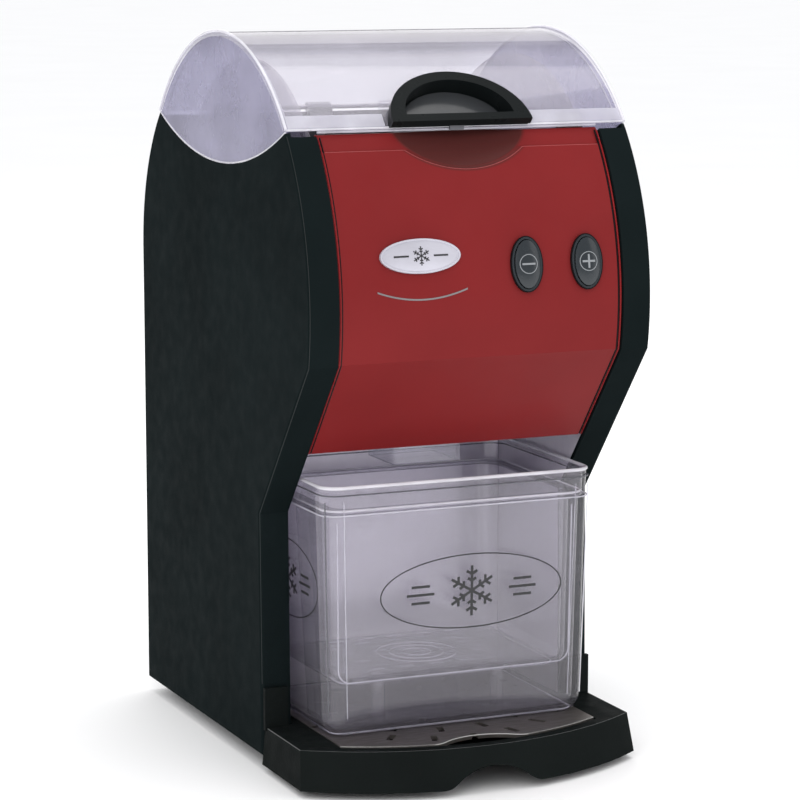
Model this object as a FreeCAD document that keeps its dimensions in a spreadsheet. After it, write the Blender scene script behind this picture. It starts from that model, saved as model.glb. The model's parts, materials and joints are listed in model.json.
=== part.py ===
import FreeCAD, Part
import math
import os
import Sketcher

# Countertop ice crusher: two hollow side shells, a curved red front panel, a clear hinged lid,
# a crushing drum driven by a gearmotor, and a bay with a clear ice bin on a drip tray.
# Millimetres. +X is the user's right, the front faces -Y, +Z is up, the feet stand on z = 0.

SIZES = {
    # outer form
    "half_width": 110, "shell_depth": 18.6, "rear_y": 157.5, "base_z": 9, "wall": 3,
    "front_foot_y": -57, "knee_y": -54.5, "knee_z": 158.5, "kink_y": -134.7, "kink_z": 257,
    "front_radius": 168.4, "rear_radius": 125.5, "shoulder_z": 301,
    "lid_front_y": -101, "lid_rear_y": 120.5, "lid_z": 389.5, "notch_radius": 257,
    "roof_radius": 140.6, "edge_round": 2.4,
    # front panel
    "panel_half": 90.7, "panel_inset": 1.6, "panel_wall": 3, "panel_top": 387.6,
    "panel_foot_z": 198.5,
    "scoop_foot_y": -114.5, "scoop_foot_z": 366.4, "scoop_mouth": 55, "scoop_ball": 158,
    "scoop_depth": 9, "scoop_border": 59.5,
    "step_z": 378, "step_depth": 1.2, "groove_in": 88.2, "groove_out": 89.6,
    # buttons and badge
    "minus_x": 28.3, "plus_x": 67.6, "button_z": 311, "button_y": -133.5, "button_tilt": 9,
    "bezel_a": 16.6, "bezel_b": 10.4, "cap_a": 14.2, "cap_b": 8,
    "badge_x": -39.4, "badge_z": 318.5, "badge_y": -132.2, "badge_tilt": 11.5,
    "badge_a": 25.4, "badge_b": 10.2,
    # bay
    "bay_back": 35, "bay_top": 200, "plate": 2,
    # bin and basket
    "bin_half": 88.8, "bin_foot_half": 85.2, "bin_front": -106.2, "bin_back": 28,
    "bin_foot": 28.2, "bin_top": 180.2, "bin_wall": 3,
    "basket_half": 80, "basket_foot_half": 78, "basket_front": -99, "basket_back": 21,
    "basket_foot": 57, "basket_wall": 2.5, "flange_z": 166,
    "leg_x": 40, "leg_front": -72, "leg_back": -4, "leg_radius": 4,
    # tray and grille
    "tray_half": 110.5, "tray_foot": 4.5, "tray_top": 27.7, "tray_corner": -121,
    "tray_lip_half": 108.4, "tray_lip_corner": -115.3, "tray_radius": 185.5,
    "tray_lip_radius": 189, "tray_rear_half": 90.5, "tray_rear": 30, "tray_under": 12.5,
    "tray_floor": 15, "tray_join": -58, "grille_half": 84, "grille_corner": -117.5,
    "grille_radius": 176, "grille_top": 28, "grille_thick": 2.5, "grille_back": 24,
    "notch_half": 33, "notch_high": 12, "notch_shoulder": 14,
    "cutout_half": 31, "cutout_foot": -136.3, "cutout_high": 10.3,
    "ear_in": 94.5, "ear_out": 109.4, "ear_front": -60.8, "ear_back": -57.6, "ear_top": 52,
    # crusher
    "drum_y": -8, "drum_z": 258, "shaft_radius": 6, "running": 0.05, "drum_core": 18,
    "blade_tip": 33, "blade_wide": 12, "blade_thick": 6, "blade_pitch": 19,
    "house_half": 58, "house_wall": 4, "house_front": -47, "house_back": 37, "house_foot": 226,
    "house_top": 300, "bracket_wall": 3, "motor_y": 80, "motor_radius": 33,
    "gear_module": 1.5, "gear_x": 63, "gear_wide": 10, "gear_lean": 12.84, "motor_shaft": 5,
    "chute_half": 22.5, "chute_front": -54, "chute_back": -16, "chute_foot": 182,
    # hopper
    "hopper_half": 90, "hopper_front": -86, "hopper_back": 100, "hopper_bend": 345,
    "hopper_lip": 372, "hopper_wall": 2.5, "arch_radius": 125,
    # lid
    "hinge_y": 121, "hinge_z": 390, "hinge_rod": 1.5, "knuckle": 3.3, "roof_wall": 3,
    "cheek_in": 106.4, "cheek_out": 109.4, "lid_gap": 0.6,
    "grip_half": 45, "grip_long": 39, "grip_tilt": 43.6,
    "grip_y": -103.5, "grip_z": 391, "grip_proud": 5.2,
}
GEAR_TEETH = 60
PINION_TEETH = 24

doc = FreeCAD.newDocument("ice_crusher")
sheet = doc.addObject("Spreadsheet::Sheet", "Sizes")
for row, (alias, number) in enumerate(SIZES.items(), start=1):
    sheet.set(f"A{row}", alias)
    sheet.set(f"B{row}", str(number))
    sheet.setAlias(f"B{row}", alias)
doc.recompute()


class Size:
    """A length together with the spreadsheet formula that gives it."""

    def __init__(self, value, formula):
        self.value = value
        self.formula = formula

    def join(self, sign, other, value):
        text = other.formula if isinstance(other, Size) else repr(float(other))
        return Size(value, f"({self.formula} {sign} {text})")

    def __add__(self, other):
        return self.join("+", other, self.value + number_of(other))

    def __sub__(self, other):
        return self.join("-", other, self.value - number_of(other))

    def __mul__(self, other):
        return self.join("*", other, self.value * number_of(other))

    def __truediv__(self, other):
        return self.join("/", other, self.value / number_of(other))

    def __neg__(self):
        return Size(-self.value, f"(0 - {self.formula})")

    def __radd__(self, other):
        return Size(float(other), repr(float(other))) + self

    def __rsub__(self, other):
        return Size(float(other), repr(float(other))) - self


def number_of(length):
    return length.value if isinstance(length, Size) else float(length)


def size(alias):
    return Size(float(SIZES[alias]), f"Sizes.{alias}")


def bind(item, path, length):
    """Set a property from a Size, and keep it tied to the spreadsheet."""
    if isinstance(length, Size):
        item.setExpression(path, length.formula)
    else:
        setattr(item, path, length)


def place(item, x=0, y=0, z=0, tilt=0):
    """Move an object, turned about X by tilt degrees; any value may be a Size."""
    spot = FreeCAD.Vector(number_of(x), number_of(y), number_of(z))
    turn = FreeCAD.Rotation(FreeCAD.Vector(1, 0, 0), number_of(tilt))
    item.Placement = FreeCAD.Placement(spot, turn)
    for name, length in (("x", x), ("y", y), ("z", z)):
        if isinstance(length, Size):
            item.setExpression(f".Placement.Base.{name}", length.formula)
    return item


# ---- Part primitives and booleans ----------------------------------------------------------

def box(name, low, high):
    """A box between two corners, each a triple of lengths."""
    item = doc.addObject("Part::Box", name)
    for side, start, end in zip(("Length", "Width", "Height"), low, high):
        span = end - start if isinstance(end, Size) or isinstance(start, Size) else float(end - start)
        bind(item, side, span)
    return place(item, *low)


AXIS_TURN = {
    "X": FreeCAD.Rotation(FreeCAD.Vector(0, 1, 0), 90),
    "Y": FreeCAD.Rotation(FreeCAD.Vector(1, 0, 0), -90),
    "Z": FreeCAD.Rotation(),
}


def rod(name, axis, start, length, radius):
    """A cylinder that starts at a point and runs the given length along +X, +Y or +Z."""
    item = doc.addObject("Part::Cylinder", name)
    bind(item, "Radius", radius)
    bind(item, "Height", length)
    place(item, *start)
    item.Placement = FreeCAD.Placement(item.Placement.Base, AXIS_TURN[axis])
    return item


def fuse(name, *items):
    item = doc.addObject("Part::MultiFuse", name)
    item.Shapes = list(items)
    return item


def cut(name, base, *tools):
    item = doc.addObject("Part::Cut", name)
    item.Base = base
    item.Tool = tools[0] if len(tools) == 1 else fuse(name + "_tools", *tools)
    return item


def common(name, *items):
    item = doc.addObject("Part::MultiCommon", name)
    item.Shapes = list(items)
    return item


def group(name, *items):
    """Several separate solids of one node."""
    item = doc.addObject("Part::Compound", name)
    item.Links = list(items)
    return item


# ---- sketches and PartDesign bodies --------------------------------------------------------

class Bend:
    """Marks the stretch to the next corner as an arc; side +1 bulges left of the way along."""

    def __init__(self, radius, side):
        self.radius = radius
        self.side = side


def arc_middle(start, end, radius, side):
    """The middle of the shorter arc of that radius from start to end."""
    along = end.sub(start)
    half = along.Length / 2
    rise = radius - math.sqrt(radius * radius - half * half)
    left = FreeCAD.Vector(-along.y, along.x, 0).normalize()
    return start.add(end).multiply(0.5).add(left.multiply(rise * side))


def bends_before(loop, corners):
    """Which corners are reached by an arc, by their place in the list of corners."""
    bends = {}
    for step, following in zip(loop, loop[1:] + loop[:1]):
        if isinstance(step, Bend):
            bends[corners.index(following)] = step
    return bends


def add_loop(sketch, loop):
    """Draw one closed outline of corners, with a Bend before a corner reached by an arc."""
    corners = [step for step in loop if not isinstance(step, Bend)]
    bends = bends_before(loop, corners)
    first = sketch.GeometryCount
    count = len(corners)
    spots = [FreeCAD.Vector(number_of(u), number_of(v), 0) for u, v in corners]
    reversed_arc = {}
    for index in range(count):
        start, end = spots[index], spots[(index + 1) % count]
        bend = bends.get((index + 1) % count)
        if bend:
            middle = arc_middle(start, end, number_of(bend.radius), bend.side)
            edge = sketch.addGeometry(Part.Arc(start, middle, end))
            shape = sketch.Geometry[edge]
            reversed_arc[edge] = shape.StartPoint.distanceToPoint(start) > 1e-4
            mark = sketch.addConstraint(Sketcher.Constraint("Radius", edge, number_of(bend.radius)))
            if isinstance(bend.radius, Size):
                sketch.setExpression(f"Constraints[{mark}]", bend.radius.formula)
        else:
            edge = sketch.addGeometry(Part.LineSegment(start, end))
            reversed_arc[edge] = False
    for index in range(count):
        edge, before = first + index, first + (index - 1) % count
        here = 2 if reversed_arc[edge] else 1
        there = 1 if reversed_arc[before] else 2
        sketch.addConstraint(Sketcher.Constraint("Coincident", before, there, edge, here))
        for kind, length in zip(("DistanceX", "DistanceY"), corners[index]):
            mark = sketch.addConstraint(
                Sketcher.Constraint(kind, -1, 1, edge, here, number_of(length)))
            if isinstance(length, Size):
                sketch.setExpression(f"Constraints[{mark}]", length.formula)


def add_circle(sketch, centre, radius):
    spot = FreeCAD.Vector(number_of(centre[0]), number_of(centre[1]), 0)
    edge = sketch.addGeometry(Part.Circle(spot, FreeCAD.Vector(0, 0, 1), number_of(radius)))
    marks = [("Radius", (edge, number_of(radius)), radius),
             ("DistanceX", (-1, 1, edge, 3, spot.x), centre[0]),
             ("DistanceY", (-1, 1, edge, 3, spot.y), centre[1])]
    for kind, where, length in marks:
        mark = sketch.addConstraint(Sketcher.Constraint(kind, *where))
        if isinstance(length, Size):
            sketch.setExpression(f"Constraints[{mark}]", length.formula)


def new_body(name):
    return doc.addObject("PartDesign::Body", name)


def add_sketch(body, plane, offset, loops=(), circles=()):
    """A sketch on one of the body's own origin planes, moved along the plane's normal."""
    support = next(item for item in body.Origin.OriginFeatures if item.Role == plane + "_Plane")
    sketch = body.newObject("Sketcher::SketchObject", body.Name + "_sketch")
    sketch.AttachmentSupport = [(support, "")]
    sketch.MapMode = "FlatFace"
    sketch.AttachmentOffset = FreeCAD.Placement(
        FreeCAD.Vector(0, 0, number_of(offset)), FreeCAD.Rotation())
    if isinstance(offset, Size):
        sketch.setExpression(".AttachmentOffset.Base.z", offset.formula)
    for loop in loops:
        add_loop(sketch, loop)
    for centre, radius in circles:
        add_circle(sketch, centre, radius)
    return sketch


def pad(body, plane, offset, length, loops=(), circles=(), midplane=False):
    feature = body.newObject("PartDesign::Pad", body.Name + "_pad")
    feature.Profile = add_sketch(body, plane, offset, loops, circles)
    bind(feature, "Length", length)
    feature.Midplane = midplane
    return feature


def pocket(body, plane, offset, length, loops=(), circles=(), flip=False, midplane=False):
    """A pocket; doc is recomputed so that a cut which removes nothing is caught at once."""
    doc.recompute()
    before = body.Shape.Volume
    feature = body.newObject("PartDesign::Pocket", body.Name + "_pocket")
    feature.Profile = add_sketch(body, plane, offset, loops, circles)
    bind(feature, "Length", length)
    feature.Midplane = midplane
    feature.Reversed = flip
    doc.recompute()
    if body.Shape.Volume > before - 0.01:
        raise RuntimeError(f"{body.Name}: a pocket removed nothing")
    return feature


def loft(body, kind, sections):
    feature = body.newObject(f"PartDesign::{kind}Loft", body.Name + "_loft")
    feature.Profile = sections[0]
    feature.Sections = sections[1:]
    feature.Ruled = True
    return feature


def round_edges(body, radius, chosen):
    """Fillet the body's edges for which chosen(edge) is true."""
    doc.recompute()
    base = body.Tip
    names = [f"Edge{n}" for n, edge in enumerate(base.Shape.Edges, start=1) if chosen(edge)]
    feature = body.newObject("PartDesign::Fillet", body.Name + "_fillet")
    feature.Base = (base, names)
    bind(feature, "Radius", radius)
    return feature


def ellipse_body(name, half_x, half_y, start, length):
    """An oval disc, its axis along +Z, from start to start + length."""
    body = new_body(name)
    wide, high = number_of(half_x), number_of(half_y)
    sketch = add_sketch(body, "XY", start)
    middle = FreeCAD.Vector(0, 0, 0)
    ends = (FreeCAD.Vector(wide, 0, 0), FreeCAD.Vector(0, high, 0))
    if wide == high:
        sketch.addGeometry(Part.Circle(middle, FreeCAD.Vector(0, 0, 1), wide))
    elif wide > high:
        sketch.addGeometry(Part.Ellipse(ends[0], ends[1], middle))
    else:
        sketch.addGeometry(Part.Ellipse(ends[1], ends[0].negative(), middle))
    feature = body.newObject("PartDesign::Pad", name + "_pad")
    feature.Profile = sketch
    bind(feature, "Length", length)
    return body


def edge_gap(start, end, bend, inset):
    """A function that gives a point's distance from an edge moved left by inset, and its direction."""
    along = end.sub(start).normalize()
    left = FreeCAD.Vector(-along.y, along.x, 0)
    if bend is None:
        return lambda point: (point.sub(start).dot(left) - inset, left)
    radius = number_of(bend.radius)
    half = end.distanceToPoint(start) / 2
    drop = math.sqrt(radius * radius - half * half)
    centre = start.add(end).multiply(0.5).sub(left.multiply(drop * bend.side))
    moved = radius + inset * bend.side

    def gap(point):
        out = point.sub(centre)
        return out.Length - moved, out.normalize()
    return gap


def meeting(first, second, point):
    """The point near the given one that lies on both moved edges."""
    for _ in range(40):
        (gap_a, way_a), (gap_b, way_b) = first(point), second(point)
        cross = way_a.x * way_b.y - way_a.y * way_b.x
        if abs(cross) < 1e-3:
            point = point.sub(FreeCAD.Vector(way_a).multiply(gap_a))
            continue
        step_x = (gap_b * way_a.y - gap_a * way_b.y) / cross
        step_y = (gap_a * way_b.x - gap_b * way_a.x) / cross
        point = point.add(FreeCAD.Vector(step_x, step_y, 0))
    return point


def inset_loop(loop, inset):
    """A loop drawn in by inset (for loops that run anticlockwise), its arcs kept round."""
    corners = [step for step in loop if not isinstance(step, Bend)]
    spots = [FreeCAD.Vector(number_of(u), number_of(v), 0) for u, v in corners]
    bends = bends_before(loop, corners)
    count = len(corners)
    gaps = [edge_gap(spots[i], spots[(i + 1) % count], bends.get((i + 1) % count), inset)
            for i in range(count)]
    moved = []
    for index in range(count):
        bend = bends.get(index)
        if bend and index:
            moved.append(Bend(number_of(bend.radius) + inset * bend.side, bend.side))
        point = meeting(gaps[index - 1], gaps[index], spots[index])
        moved.append((point.x, point.y))
    if bends.get(0):
        moved.append(Bend(number_of(bends[0].radius) + inset * bends[0].side, bends[0].side))
    return moved


def near(value, target, slack=0.01):
    return abs(value - number_of(target)) < slack


NODES = {}


def node(name, item):
    item.Label = name
    NODES[name] = item
    return item


# ---- outer shells --------------------------------------------------------------------------

TIE_RODS = {"rear_low": (138, 60), "rear_high": (126, 345), "front_high": (-100, 352),
            "middle": (-62, 207.3)}
BOSS_RADIUS = 8


def side_outline(top_radius, top_side):
    """The side view, from the rear foot over the shoulder and the top and down the front."""
    return [
        (size("rear_y"), size("base_z")),
        (size("rear_y"), size("shoulder_z")), Bend(size("rear_radius"), -1),
        (size("lid_rear_y"), size("lid_z")), Bend(top_radius, top_side),
        (size("lid_front_y"), size("lid_z")), Bend(size("front_radius"), -1),
        (size("kink_y"), size("kink_z")),
        (size("knee_y"), size("knee_z")),
        (size("front_foot_y"), size("base_z")),
    ]


def side_shells():
    """Deep hollow mouldings, open towards the machine's middle, with bosses for the tie rods."""
    body = new_body("shell_body")
    inner_x = size("half_width") - size("shell_depth")
    pad(body, "YZ", inner_x, size("shell_depth"), [side_outline(size("roof_radius"), -1)])
    round_edges(body, size("edge_round"), lambda edge: all(
        near(vertex.X, size("half_width")) for vertex in edge.Vertexes))
    above = size("lid_z") + 80
    notch = [(size("lid_rear_y"), size("lid_z")), (size("lid_rear_y"), above),
             (size("lid_front_y"), above), (size("lid_front_y"), size("lid_z")),
             Bend(size("notch_radius"), -1)]
    pocket(body, "YZ", inner_x - 1, 30, [notch], flip=True)
    hollow = inset_loop(side_outline(size("notch_radius"), 1), SIZES["wall"])
    pocket(body, "YZ", size("half_width") - size("wall"), size("shell_depth"), [hollow])
    bosses = [rod(f"boss_{spot}", "X", (inner_x, y, z), size("shell_depth") - 1, BOSS_RADIUS)
              for spot, (y, z) in TIE_RODS.items()]
    screw_holes = [rod(f"boss_hole_{spot}", "X", (inner_x - 1, y, z), 13, 2.2)
                   for spot, (y, z) in TIE_RODS.items()]
    right = cut("right_shell_cut", fuse("shell_all", body, *bosses), *screw_holes)
    node("right_side_shell", right)
    mirror("left_side_shell", right)


def mirror(name, source):
    item = doc.addObject("Part::Mirroring", name + "_mirror")
    item.Source = source
    item.Normal = FreeCAD.Vector(1, 0, 0)
    return node(name, item)


def tie_rods():
    """Spacer rods that hold the two shells apart, with a screw from each end."""
    span = size("half_width") - size("shell_depth") - 0.1
    rods = []
    screws = []
    for spot, (y, z) in TIE_RODS.items():
        spacer = rod(f"tie_{spot}", "X", (-span, y, z), span * 2, 5)
        bore = rod(f"tie_bore_{spot}", "X", (-100, y, z), 200, 2.1)
        rods.append(cut(f"tie_rod_{spot}", spacer, bore))
        for end in (-1, 1):
            start = 83 if end > 0 else -103
            screws.append(rod(f"tie_screw_{spot}_{end + 1}", "X", (start, y, z), 20, 2))
    node("tie_rods", group("tie_rods_group", *rods))
    node("tie_rod_screws", group("tie_screws_group", *screws))


def side_prism(name, inset, half):
    """The whole side view drawn in by an inset, as a solid across the machine."""
    body = new_body(name)
    loop = inset_loop(side_outline(size("roof_radius"), -1), number_of(inset))
    pad(body, "YZ", 0, half * 2, [loop], midplane=True)
    return body


def skin_band(name, inset, thick, low, high):
    """A sheet that follows the side view at an inset, kept between two corners."""
    half = number_of(high[0]) + 5
    outer = side_prism(name + "_outer", inset, half)
    inner = side_prism(name + "_inner", number_of(inset) + number_of(thick), half + 5)
    sheet_all = cut(name + "_skin", outer, inner)
    return common(name + "_band", sheet_all, box(name + "_limits", low, high))


# ---- front panel, badge and buttons --------------------------------------------------------

def front_panel():
    """The red panel: a curved sheet with a set-back top band, edge grooves and a finger scoop."""
    half = size("panel_half")
    foot = size("panel_foot_z")
    top = size("panel_top")
    inset = size("panel_inset")
    sheet_body = skin_band("panel_sheet", inset, size("panel_wall"), (-half, -160, foot), (half, -60, top))
    cup = common("panel_cup",
                 skin_band("panel_cup_band", inset + 1, size("scoop_depth") + 1.5,
                           (-60, -160, 350), (60, -60, top)),
                 scoop_ball("panel_cup_ball", SIZES["scoop_mouth"], 2.4))
    scoop = common("panel_scoop",
                   skin_band("panel_scoop_band", -2, size("scoop_depth") + 3.6,
                             (-60, -160, 350), (60, -60, top + 5)),
                   scoop_ball("panel_scoop_ball", SIZES["scoop_mouth"], 0))
    step = skin_band("panel_step", -2, size("step_depth") + 3.6,
                     (-half - 2, -160, size("step_z")), (half + 2, -60, top + 5))
    border = common("panel_border",
                    skin_band("panel_border_band", -2, size("step_depth") + 3.6,
                              (-60, -160, 355), (60, -60, top + 5)),
                    scoop_ball("panel_border_ball", SIZES["scoop_border"], 0))
    grooves = [skin_band(f"panel_groove_{side}", -2, size("step_depth") + 3.6,
                         (low, -160, foot - 5), (high, -60, top + 5))
               for side, low, high in (("left", -size("groove_out"), -size("groove_in")),
                                       ("right", size("groove_in"), size("groove_out")))]
    holes = [oval(f"button_hole_{name}", x, "button", size("bezel_a") - 1, size("bezel_b") - 1, -20, 40)
             for name, x in (("minus", size("minus_x")), ("plus", size("plus_x")))]
    whole = fuse("panel_all", sheet_body, cup)
    node("front_panel", cut("panel_cut", whole, scoop, step, border, *grooves, *holes))


def scoop_ball(name, mouth, more):
    """A large ball that meets the panel in a circle of radius mouth, its lowest point at the scoop's."""
    lean = math.atan2(SIZES["panel_top"] - SIZES["scoop_foot_z"], 13.6)
    rise = math.sqrt(SIZES["scoop_ball"] ** 2 - SIZES["scoop_mouth"] ** 2)
    ball = doc.addObject("Part::Sphere", name)
    ball.Radius = math.hypot(rise, mouth) + more
    return place(ball, 0,
                 SIZES["scoop_foot_y"] + mouth * math.cos(lean) - rise * math.sin(lean),
                 SIZES["scoop_foot_z"] + mouth * math.sin(lean) + rise * math.cos(lean))


def oval(name, x, where, half_high, half_wide, start, length):
    """An oval disc square to the panel at the buttons or the badge; start counts inwards."""
    body = ellipse_body(name, half_wide, half_high, -number_of(start) - number_of(length), length)
    tilt = 90 - SIZES[where + "_tilt"]
    return place(body, x, size(where + "_y"), size(where + "_z"), tilt)


def ring(name, x, half_high, half_wide, rim, start, length):
    outer = oval(name + "_outer", x, "button", half_high, half_wide, start, length)
    inner = oval(name + "_inner", x, "button", half_high - rim, half_wide - rim, start - 1, length + 2)
    return cut(name, outer, inner)


def buttons():
    """Two oval push buttons in bezels; each cap has a plunger towards a switch on the board."""
    bezels = []
    switches = []
    for name, x in (("minus", size("minus_x")), ("plus", size("plus_x"))):
        flange = ring(f"{name}_bezel_flange", x, size("bezel_a"), size("bezel_b"), 2, -1.6, 1.5)
        sleeve = ring(f"{name}_bezel_sleeve", x, size("bezel_a") - 1.2, size("bezel_b") - 1.2, 0.8, -0.2, 8)
        bezels.append(fuse(f"{name}_bezel", flange, sleeve))
        cap = oval(f"{name}_cap", x, "button", size("cap_a"), size("cap_b"), -2.6, 7)
        plunger = oval(f"{name}_plunger", x, "button", 2.5, 2.5, 4, 7.5)
        node(f"{name}_button", fuse(f"{name}_button_all", cap, plunger))
        case = oval(f"{name}_switch_case", x, "button", 6, 6, 15.3, 5)
        tip = oval(f"{name}_switch_tip", x, "button", 1.8, 1.8, 13.8, 2)
        switches.append(fuse(f"{name}_switch", case, tip))
    node("button_bezels", group("bezels_group", *bezels))
    node("button_switches", group("switches_group", *switches))
    control_board()


def control_board():
    """The board that carries the button switches, on four posts from the panel."""
    board = box("board_plate", (0, 0, 0), (64, 52, 1.6))
    corner = (number_of((size("minus_x") + size("plus_x")) / 2 - 32),
              SIZES["button_y"] + 17.95, SIZES["button_z"] - 27.1)
    tilt = 90 - SIZES["button_tilt"]
    node("control_board", place(board, *corner, tilt))
    turn = FreeCAD.Rotation(FreeCAD.Vector(1, 0, 0), tilt)
    posts = []
    for along in (4, 60):
        for up in (4, 48):
            foot = FreeCAD.Vector(*corner).add(turn.multVec(FreeCAD.Vector(along, up, 1.65)))
            post = rod(f"board_post_{along}_{up}", "Z", (0, 0, 0), 30, 2.5)
            posts.append(place(post, foot.x, foot.y, foot.z, tilt))
    limits = side_prism("post_limits", number_of(size("panel_inset") + size("panel_wall") + 0.05), 90)
    kept = [common(f"board_post_kept_{index}", post, limits) for index, post in enumerate(posts)]
    node("board_posts", group("board_posts_group", *kept))


def badge():
    """A domed oval plate with a raised rim, and the curved stripe under it."""
    plate = oval("badge_plate_disc", size("badge_x"), "badge", size("badge_b"), size("badge_a"), -1.6, 1.5)
    node("badge_plate", plate)


# ---- rear cover and frame ------------------------------------------------------------------

COVER_SCREWS = [(x, z) for x in (-84, 84) for z in (24, 160, 285)]
VENT_ROWS = 9


def rear_cover():
    """The back of the machine, curved over at the top, with vent slots and the inlet opening."""
    half = size("half_width") - size("shell_depth") - 0.4
    band = skin_band("rear_band", 0, size("wall"), (-half, 100, size("base_z") + 0.5), (half, 170, 387.3))
    slots = [box(f"vent_{side}_{row}", (low, 150, 70 + 12 * row), (high, 165, 75 + 12 * row))
             for side, low, high in (("left", -62, -8), ("right", 8, 62)) for row in range(VENT_ROWS)]
    inlet = box("inlet_opening", (40, 150, 24), (68.5, 165, 48))
    holes = []
    for index, (x, z) in enumerate(COVER_SCREWS):
        holes.append(rod(f"cover_hole_{index}", "Y", (x, 150, z), 20, 1.8))
        holes.append(rod(f"cover_counterbore_{index}", "Y", (x, 155.8, z), 20, 3.8))
    above_floor = box("cover_floor_space", (-120, -60, 0), (120, 151.3, size("base_z") + size("wall") + 0.2))
    relief = rod("cover_relief", "X", (-100, size("hinge_y"), size("hinge_z")), 200, size("knuckle") + 0.3)
    node("rear_cover", cut("rear_cover_cut", band, inlet, relief, above_floor, *slots, *holes))


def rear_rails():
    """Two steel strips inside the rear edges, which take the cover's screws."""
    rails = []
    for side in (-1, 1):
        low = -91 if side < 0 else 76
        strip = box(f"rail_strip_{side + 1}", (low, 151.9, 12.1), (low + 15, 154.4, 298))
        holes = [rod(f"rail_hole_{index}", "Y", (x, 145, z), 20, 1.65)
                 for index, (x, z) in enumerate(COVER_SCREWS) if x * side > 0]
        rails.append(cut(f"rail_{side + 1}", strip, *holes))
    node("rear_rails", group("rails_group", *rails))
    screws = []
    for index, (x, z) in enumerate(COVER_SCREWS):
        shank = rod(f"cover_shank_{index}", "Y", (x, 148, z), 8.5, 1.6)
        head = rod(f"cover_head_{index}", "Y", (x, 155.9, z), 1.6, 3.6)
        screws.append(fuse(f"cover_screw_{index}", shank, head))
    node("rear_cover_screws", group("cover_screws_group", *screws))


def power_inlet():
    """A three-pin appliance inlet behind the rear cover; its recess opens backwards."""
    body = box("inlet_body", (40.3, 134, 24.3), (68.2, 157.4, 47.7))
    recess = box("inlet_recess", (43, 141, 27), (65.5, 160, 45))
    node("power_inlet", cut("inlet_cut", body, recess))
    pins = [box(f"inlet_pin_{index}", (x - 1, 136, z - 2), (x + 1, 153, z + 2))
            for index, (x, z) in enumerate(((47.5, 34.5), (54.25, 38.5), (61, 34.5)))]
    node("inlet_pins", group("inlet_pins_group", *pins))


def base():
    """The floor plate with its four rubber feet and their screws."""
    half = size("half_width") - size("shell_depth") - 0.2
    plate = box("floor_plate", (-half, -54, size("base_z")), (half, 151, size("base_z") + size("wall")))
    spots = [(x, y) for x in (-72, 72) for y in (-38, 130)]
    plate_holes = [rod(f"floor_hole_{i}", "Z", (x, y, 0), 30, 2.2) for i, (x, y) in enumerate(spots)]
    node("floor_plate", cut("floor_plate_cut", plate, *plate_holes))
    feet = []
    screws = []
    for index, (x, y) in enumerate(spots):
        pad_shape = doc.addObject("Part::Cone", f"foot_cone_{index}")
        pad_shape.Radius1 = 10
        pad_shape.Radius2 = 12
        bind(pad_shape, "Height", size("base_z"))
        place(pad_shape, x, y, 0)
        recess = rod(f"foot_recess_{index}", "Z", (x, y, -1), 4, 5)
        hole = rod(f"foot_hole_{index}", "Z", (x, y, 0), 12, 2.2)
        feet.append(cut(f"foot_{index}", pad_shape, recess, hole))
        head = rod(f"foot_head_{index}", "Z", (x, y, 1.2), 1.8, 4)
        shank = rod(f"foot_shank_{index}", "Z", (x, y, 3), 9.2, 2)
        screws.append(fuse(f"foot_screw_{index}", head, shank))
    node("rubber_feet", group("feet_group", *feet))
    node("foot_screws", group("foot_screws_group", *screws))


# ---- bay -----------------------------------------------------------------------------------

def bay():
    """The lining of the bin's bay: two side plates, a steel back plate and a ceiling."""
    inner = size("half_width") - size("shell_depth")
    back = size("bay_back")
    top = size("bay_top")
    lining = inset_loop(side_outline(size("roof_radius"), -1), SIZES["wall"] + 0.2)
    for name, low, high in (("right", inner, inner + size("plate")),
                            ("left", -inner - size("plate"), -inner)):
        body = new_body(f"{name}_bay_shape")
        pad(body, "YZ", low, size("plate"), [lining])
        limits = box(f"{name}_bay_limits", (low - 1, -120, 10), (high + 1, back, top))
        around_rod = rod(f"{name}_bay_rod_hole", "X", (-120, *TIE_RODS["middle"]), 240, BOSS_RADIUS + 0.5)
        kept = common(f"{name}_bay_common", body, limits)
        node(f"{name}_bay_panel", cut(f"{name}_bay_cut", kept, around_rod))
    rear = back + size("plate")
    node("bay_back_plate", box("bay_back_shape", (-inner + 0.2, back, 12.2), (inner - 0.2, rear, top)))
    ceiling = box("bay_ceiling_shape", (-inner + 0.2, -80, top + 0.1), (inner - 0.2, rear, top + 2.1))
    mouth = box("bay_ceiling_mouth", (-size("chute_half") - 2.4, size("chute_front") - 2.4, 190),
                (size("chute_half") + 2.4, size("chute_back") + 2.4, 210))
    node("bay_ceiling", cut("bay_ceiling_cut", ceiling, mouth))


# ---- tray, grille, bin and basket -----------------------------------------------------------

def bowed(half, join, corner, radius):
    """A plan outline with a bowed front edge, straight sides and a straight back."""
    return [(-half, join), (-half, corner), Bend(radius, -1), (half, corner), (half, join)]


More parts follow.
